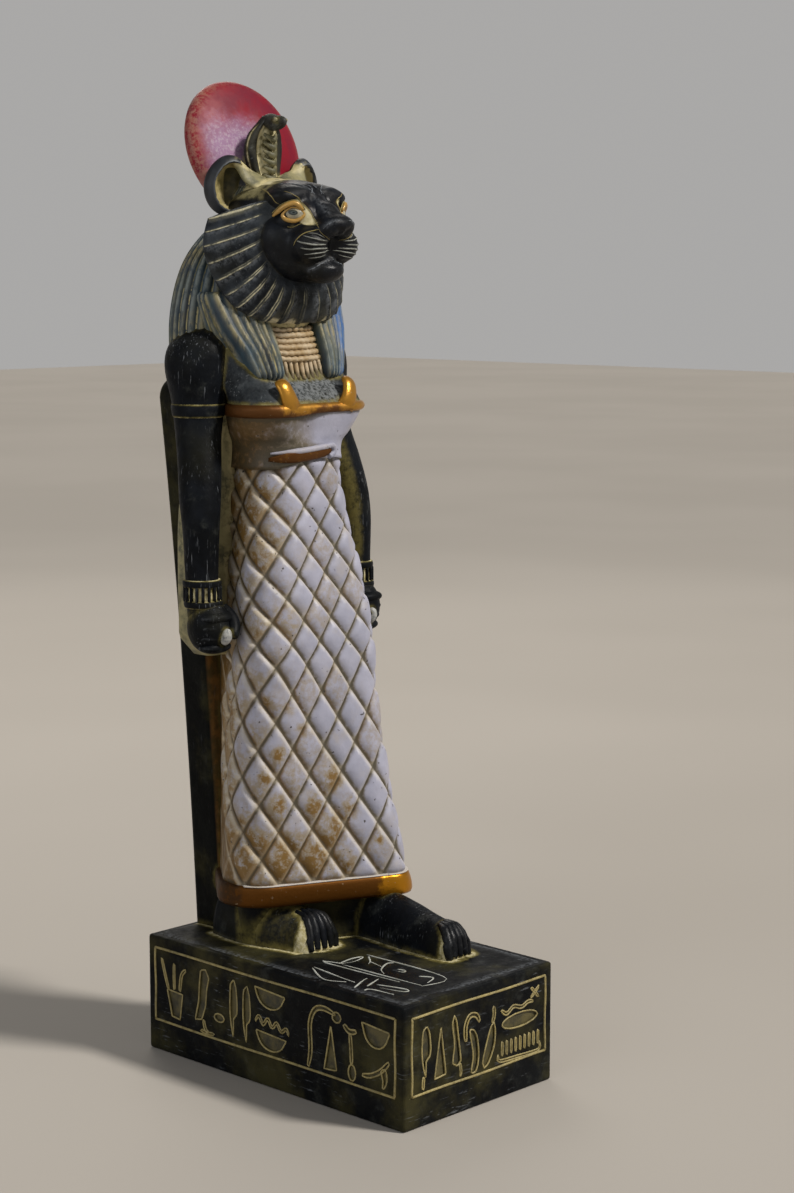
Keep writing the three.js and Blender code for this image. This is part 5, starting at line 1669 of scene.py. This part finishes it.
# the grey on the lower lip and the edge of the nose is a painted highlight as well as dry brush
fine = [  # two folds of the brow, the lower lip and the edge of the nose
    drape([(9.4, 36, 230.8), (5.6, 39.6, 230.0), (2.4, 42.0, 228.1), (1.4, 43.2, 226.4)], 0.15, 18),
    drape([(0.9, 40.2, 229.8), (1.2, 42.2, 228.2), (2.6, 43.2, 226.6)], 0.13, 12),
    drape(np.array(LIP) - (0, -0.2, 0.45), 0.16, 20),
    drape([(6.1, 51.6, 216.3), (5.3, 52.9, 217.5), (3.4, 54.1, 218.5), (1.2, 54.9, 218.9)], 0.15, 16),
]
note(finish_piece(joined(fine), "brow-ridges", mane_stone), "rub", 0.9)
print("fine ridges laid on the face")

# %% [markdown]
# The eyes are separate balls set in the sockets, each with a drawn iris. The lids are two rolls of gold
# clay that meet at the corners, the upper one heavier.

# %% Eye paint
r = Recipe("painted eye")
split = r.nodes.new("ShaderNodeSeparateXYZ")
r.links.new(r.where, split.inputs[0])
aside = r.times(r.sum("SUBTRACT", r.sum("ABSOLUTE", split.outputs["X"], 0), 10.7 * MM), 1.15)
rise = r.times(r.sum("SUBTRACT", split.outputs["Z"], (PLINTH_HEIGHT + 221.0) * MM), 1.45)
away = r.sum("SQRT", r.sum("ADD", r.times(aside, aside), r.times(rise, rise)), 0)
colour = r.over(r.patches(0.35, 0.65, 2, 3), "b3aa8e", "8d8a7c")
colour = r.over(r.between(away, 1.25 * MM, 0.95 * MM), colour, "2d3332")
colour = r.over(r.between(away, 0.75 * MM, 0.5 * MM), colour, "4d5452")
colour = r.over(r.between(away, 0.4 * MM, 0.25 * MM), colour, "14171a")
settle = r.times(r.note("wash"), r.cloud(1.5, 3), True)
eye_paint = r.done(r.over(settle, colour, "2c2a26"), 0.35, Specular_IOR_Level=0.3)
print("eye paint ready")


# %% Eyes
# the rim is an almond of gold, thick below
ALMOND = [(12.6, 41.3, 220), (12.1, 42, 219.1), (11.3, 43, 218.7), (10.1, 43.9, 218.6), (9.1, 44.6, 219),
          (8.1, 45, 219.8), (7.6, 45.2, 220.6), (8.4, 44.9, 221.6), (9.5, 44.3, 222.3), (10.8, 43.4, 222.5),
          (11.8, 42.4, 221.8), (12.5, 41.5, 220.8)]
# the upper lid is a broad band over it, from past the outer corner to the inner one
UPPER_LID = [(13.9, 38.5, 220), (13.5, 40.1, 221.2), (12.9, 41.4, 222.3), (12.1, 42.6, 223.1),
             (11.1, 43.6, 223.6), (10.3, 44.2, 223.7), (9.1, 44.9, 222.9), (8.1, 45.3, 221.7)]
ball = lump((9.4, 42.7, 220.6), (3.1, 1.9, 2.1), 40, 28, splay=0.82)
path = smooth_path(ALMOND, 48, closed=True)
size = np.interp(path[:, 2], [218.6, 220, 221, 222.5], [0.62, 0.55, 0.34, 0.26])
almond = roll(place(*path.T), size, closed=True, sides=12, facing=EYE_WAY)
size = np.interp(np.linspace(0, 1, 26), [0, 0.2, 0.5, 0.8, 1], [0.35, 0.7, 0.78, 0.7, 0.4])
upper = roll(place(*smooth_path(UPPER_LID, 26).T), size, sides=12, facing=EYE_WAY, flat=0.8)
lids = both_sides(joined([almond, upper]))
finish_piece(both_sides(ball), "eyes", eye_paint)
note(lids, "rub", 0.4)
finish_piece(lids, "lids", lid_gold)
print("eyes ready")

# %% [markdown]
# ## Ears
# An ear is a rounded cup that faces forward and a little outward: a ball pressed in from the front by a
# thumb. The rim stays black, the bowl is cream, and its inner half is deep olive.

# %% Ear paint
r = Recipe("ear paint")
stone = r.over(r.patches(0.35, 0.68, 6, 5), "0e1116", "232830")
stone = r.over(r.times(r.note("rub"), 0.8, True), stone, "7f858b")
inside = r.over(r.patches(0.38, 0.6, 4, 5), "b5a674", "857a4c")
olive = r.over(r.patches(0.4, 0.6, 3, 4), "33311c", "4a4526")
inside = r.over(r.between(r.note("stain"), 0.35, 0.6), inside, olive)
colour = r.over(r.between(r.note("gilt"), 0.35, 0.6), stone, inside)
settle = r.held("wash", 0.3, 0.6, 2.6, 5)
ear_paint = r.done(r.over(r.between(settle, 0.2, 0.9, 0, 0.8), colour, "a89c70"), 0.5, r.cloud(2, 5), 0.12)
print("ear paint ready")


# %% Ears
EAR_WIDE, EAR_TALL, EAR_SPLAY = 7.6, 8.9, 0.42  # half sizes, and the turn outward in radians
deselect()
bpy.ops.mesh.primitive_uv_sphere_add(segments=80, ring_count=56, radius=1)
ear = bpy.context.object
s = points_of(ear)
tip = np.arccos(np.clip(s[:, 2], -1, 1))
around = np.arctan2(s[:, 1], s[:, 0])
r, fore = np.sin(tip), np.cos(tip)
u, w = r * np.cos(around), r * np.sin(around)
# an upright oval, narrower above, hollowed in front and open towards the brow
x, z = u * EAR_WIDE * (1 - 0.12 * np.maximum(w, 0) ** 2), w * EAR_TALL
cup = 1 - ((u + 0.12) / 0.76) ** 2 - ((w + 0.04) / 0.78) ** 2
y = np.where(fore > 0, 4.0 * fore - 7.0 * np.sqrt(np.maximum(cup, 0)), 3.6 * fore)
y -= 1.6 * ease(-u, 0.35, 0.85) * (fore > 0)
c, s = math.cos(EAR_SPLAY), math.sin(EAR_SPLAY)
set_points(ear, place(15.2 + x * c + y * s, 20.8 - x * s + y * c, 229.2 + z - 0.08 * x))
opened = ease(-u, 0.25, 0.6) * (fore > -0.1)
note(ear, "gilt", np.maximum(ease(cup, -0.02, 0.10) * (fore > 0), opened * ease(-w, -0.85, -0.6)))
note(ear, "stain", ease(cup, 0.2, 0.5) * ease(-u, -0.22, 0.05) * (fore > 0))
note(ear, "rub", 0.45 * bump_at(cup + 0.12, 0.08) * (fore > 0))
finish_piece(both_sides(ear), "ears", ear_paint)
print("ears ready")

# %% [markdown]
# ## Sun disc and cobra
# The disc is a thick lens that leans back on the crown. The cobra rears in front of it with its hood
# spread, its belly stepped like a ladder and its head thrust forward.

# %% Sun disc
deselect()
bpy.ops.mesh.primitive_uv_sphere_add(segments=96, ring_count=48, radius=1)
disc = bpy.context.object
s = points_of(disc)
tip = np.arccos(np.clip(s[:, 2], -1, 1)) / math.pi
around = np.arctan2(s[:, 1], s[:, 0])
# radius and front of the lens, from the middle of its face round the edge to the middle of its back
LENS = [(0, 5.4), (6, 5.3), (14, 4.5), (19.5, 3.2), (21.4, 1.9), (22, 0.3), (21.3, -1.3), (19, -2.3),
        (14, -2.8), (6, -3), (0, -3)]
LEAN = 0.32  # in radians, backwards
radius, front = smooth_path(LENS, 97)[np.round(tip * 96).astype(int)].T
x, rise = radius * np.cos(around), radius * np.sin(around)
c, s = math.cos(LEAN), math.sin(LEAN)
set_points(disc, place(x, 10.4 + front * c - rise * s, 239.9 + rise * c + front * s))
haze = ease(-rise, -17, 0) * ease(-np.abs(x + 5), -19, -7)
note(disc, "stain", np.clip(0.08 + 0.95 * haze, 0, 1))
rim_rub = bump_at(radius - 21.2, 1.7) * (0.35 + 0.65 * ease(-x, 2, 16))
# a painted highlight on the disc's face above its middle
highlight_spot = 0.5 * bump_at(np.hypot(x - 5, rise - 6), 3.5)
note(disc, "rub", np.clip(rim_rub + 0.9 * ease(-rise, 9, 17) + highlight_spot, 0, 1))
finish_piece(disc, "sun-disc", sun_red)
print("sun disc ready")

# %% Cobra hood
# the hood: height, half width, out, half thickness
HOOD = [[228, 3.8, 21, 3.4], [231, 4.6, 20.4, 3.4], [235, 6, 19.6, 3.2], [240, 7, 19.4, 3],
        [244.5, 6, 20, 2.8], [248, 3.4, 21.4, 2.4], [250, 2.2, 22.6, 2]]
hood, turn, level, spread = clay(48, 36)
up = 228 + level * 22
half_wide, out, thick = read(HOOD, up)
c, s = np.cos(turn * TAU), np.sin(turn * TAU)
aside = np.abs(s)
dent = np.where(c > 0, 0.9 * bump_at(aside - 0.47, 0.16), 0)
lip = np.where(c > 0, 0.5 * bump_at(aside - 0.9, 0.12), 0)
x = half_wide * np.sign(s) * aside ** 0.9 * spread
set_points(hood, place(x, out + spread * (thick * c - dent + lip), up))
lines = 0.4 * ease(-aside, -0.46, -0.36) + 0.9 * bump_at(aside - 0.50, 0.07) + 0.85 * bump_at(aside - 0.99,
                                                                                              0.02)
note(hood, "wash", np.where(c > 0, lines, 0) * ease(-up, -248.5, -246))
print("hood ready")

# %% Cobra head and belly
skull = lump((0, 25.6, 247.8), (2.2, 4.0, 2.2), 28, 20, nod=-0.15)
nape = lump((0, 23.2, 248.4), (2.7, 3.2, 2.3), 24, 16)
finish_piece(joined([hood, skull, nape]), "cobra", cobra_stone)
size = np.interp(np.linspace(0, 1, 9), [0, 0.5, 1], [0.5, 1.05, 0.5])
parts = []
for k in range(6):
    out, up = 22.2 + k * 0.1, 232.9 + k * 2.35
    path = smooth_path([(-2.5, out, up), (0, out + 1.7, up - 1.7), (2.5, out, up)], 9)
    parts.append(roll(place(*path.T), size, sides=10, facing=FORWARD, flat=0.7))
for lean in (-1, 1):
    parts.append(lump((lean * 2.0, 27.2, 248.6), (0.75, 0.9, 0.7), 12, 8))
finish_piece(joined(parts), "cobra-belly", belly_olive)
print("cobra ready")

# %% Stone between the ears
# a slope of stone runs from each ear to the foot of the cobra
SLOPE_TOP = [(14.1, 22, 237.3), (11.9, 22, 236.1), (7.6, 22.3, 233.6), (2.6, 22.6, 231.6)]
SLOPE_FOOT = [(13.9, 22.4, 236.2), (12.5, 23.6, 233), (11.7, 26, 229.6), (8.5, 30, 227.6)]
parts = [lump((0, 24, 226.5), (11.5, 8, 5.2), 48, 24)]
for lean in (-1, 1):
    upper, lower = (place(*(smooth_path(edge, 24) * (lean, 1, 1)).T) for edge in (SLOPE_TOP, SLOPE_FOOT))
    path, half = (upper + lower) / 2, np.linalg.norm(upper - lower, axis=1) / 2 / MM + 0.3
    facing = np.cross(upper - lower, np.gradient(path, axis=0))
    parts.append(roll(path, half, sides=32, facing=facing, flat=np.minimum(1.3 / half, 1)))
finish_piece(joined(parts), "crown", web_cream)
print("crown ready")

# %% [markdown]
# ## Wear and wash
# Paint settles where forms meet, and rubs off where they stand out. Two passes add both to the notes on
# every point: one measures how hollow or proud the surface is round each point, and the other how near
# the point is to the next form.

# %% Hollows and ridges
def hollowness(piece):
    """Signed bend of the surface at each point, in 1/mm: above 0 in a hollow, below 0 on a ridge."""
    mesh = piece.data
    n = len(mesh.vertices)
    ends = np.empty(len(mesh.edges) * 2, int)
    mesh.edges.foreach_get("vertices", ends)
    a, b = ends.reshape(-1, 2).T
    spots = points_of(piece) / MM
    normal = np.empty(n * 3)
    mesh.vertices.foreach_get("normal", normal)
    normal = normal.reshape(-1, 3)
    d = spots[b] - spots[a]
    long = np.maximum((d ** 2).sum(1), 0.01)
    total, count = np.zeros(n), np.zeros(n)
    for i, j, way in ((a, b, d), (b, a, -d)):
        np.add.at(total, i, (normal[i] * way).sum(1) / long)
        np.add.at(count, i, 1)
    bend = total / np.maximum(count, 1)
    for _ in range(2):
        around = np.zeros(n)
        np.add.at(around, a, bend[b])
        np.add.at(around, b, bend[a])
        bend = 0.5 * bend + 0.5 * around / np.maximum(count, 1)
    return bend


HOLLOW_WASH = {"head": 0.1, "feet": 0.4}
for name in ("arms", "fists", "feet", "head", "ruff", "collar", "cobra", "cobra-belly", "wig", "lappets", "hem",
             "chest-band", "staff-ends"):
    piece = made[name]
    bend = hollowness(piece)
    share = HOLLOW_WASH.get(name, 0.8)
    note(piece, "wash", np.clip(noted(piece, "wash") + share * ease(bend, 0.08, 0.35), 0, 1.2))
    note(piece, "rub", np.clip(noted(piece, "rub") + 0.45 * ease(-bend, 0.22, 0.6), 0, 1))
print("hollows and ridges noted")

# %% Where forms meet
WASH_REACH = 2.6
# fine trim, which neither takes this wash nor gives it to its neighbours
TRIM = ("carved-lines", "top-strokes", "plinth", "eyes", "whiskers", "face-ridges", "brow-ridges", "cuffs",
        "waist-rim")
# how strongly the wash gathers on each form beside the next one, where that isn't 0.9
GATHERS = {
    "toes-odd": 0, "toes-even": 0, "hem-edge": 0, "head": 0.12, "cobra-belly": 0.2, "ruff": 0.2, "lids": 0.2,
    "hem": 0.2, "chest-band": 0.2, "waist-band": 0.2, "arms": 0.25, "pillar": 0.3, "lappets": 0.3,
    "straps": 0.3, "fists": 0.35, "feet": 0.35, "wig": 0.35, "under-hem": 0.35, "cobra": 0.45, "ears": 0.5,
    "chest": 0.5, "bodice": 0.5, "staff-ends": 0.5, "dress": 0.6, "behind-arms": 0.6, "plinth-top": 1.0,
}
solids = {name: piece for name, piece in made.items() if name not in TRIM}
trees, boxes = {}, {}
for name, piece in solids.items():
    spots = points_of(piece)
    trees[name] = tree_of(piece)
    boxes[name] = (spots.min(0) - 3 * MM, spots.max(0) + 3 * MM)
for name, piece in solids.items():
    share = GATHERS.get(name, 0.9)
    if share == 0:
        continue
    spots = points_of(piece)
    nearest = np.full(len(spots), WASH_REACH * MM)
    for other, tree in trees.items():
        if other == name:
            continue
        low, high = boxes[other]
        for i in np.nonzero(((spots > low) & (spots < high)).all(1))[0]:
            distance = tree.find_nearest(spots[i], nearest[i])[3]
            if distance is not None and distance < nearest[i]:
                nearest[i] = distance
    wide = 1.9 if name == "plinth-top" else 1.0
    gather = share * bump_at(nearest / MM, wide) * (nearest < WASH_REACH * MM)
    note(piece, "wash", np.clip(noted(piece, "wash") + gather, 0, 1.3))
print("meeting lines washed")

# %% [markdown]
# ## One casting
# The real statue is a single casting. Its forms are joined into three meshes, the head, the figure and the
# base, so that each stays light. All three ride on the one body and stand together for the CAD node.

# %% Join and attach
def triangles_of(piece):
    return sum(len(face.vertices) - 2 for face in piece.data.polygons)


for name, piece in made.items():
    for wanted in ("wash", "rub", "stain", "gilt"):
        if not piece.data.attributes.get(wanted):
            note(piece, wanted, 0.0)
    print(name + ":", triangles_of(piece), "triangles")
OF_HEAD = ["head", "whiskers", "face-ridges", "brow-ridges", "eyes", "lids", "ears", "sun-disc", "cobra",
           "cobra-belly", "crown", "ruff", "wig", "lappets", "collar"]
OF_BASE = ["feet", "toes-odd", "toes-even", "pillar", "plinth", "carved-lines", "plinth-top", "top-strokes"]
OF_FIGURE = [name for name in made if name not in OF_HEAD + OF_BASE]
for name, forms in (("painted-head", OF_HEAD), ("painted-figure", OF_FIGURE), ("painted-base", OF_BASE)):
    piece = joined([made[form] for form in forms])
    piece.name = piece.data.name = name
    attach(piece, "root")
    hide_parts("statue")
    print(name + ":", triangles_of(piece), "triangles")

# %% Sizes
low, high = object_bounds()
print("visual box:", [round(v, 4) for v in low], [round(v, 4) for v in high])
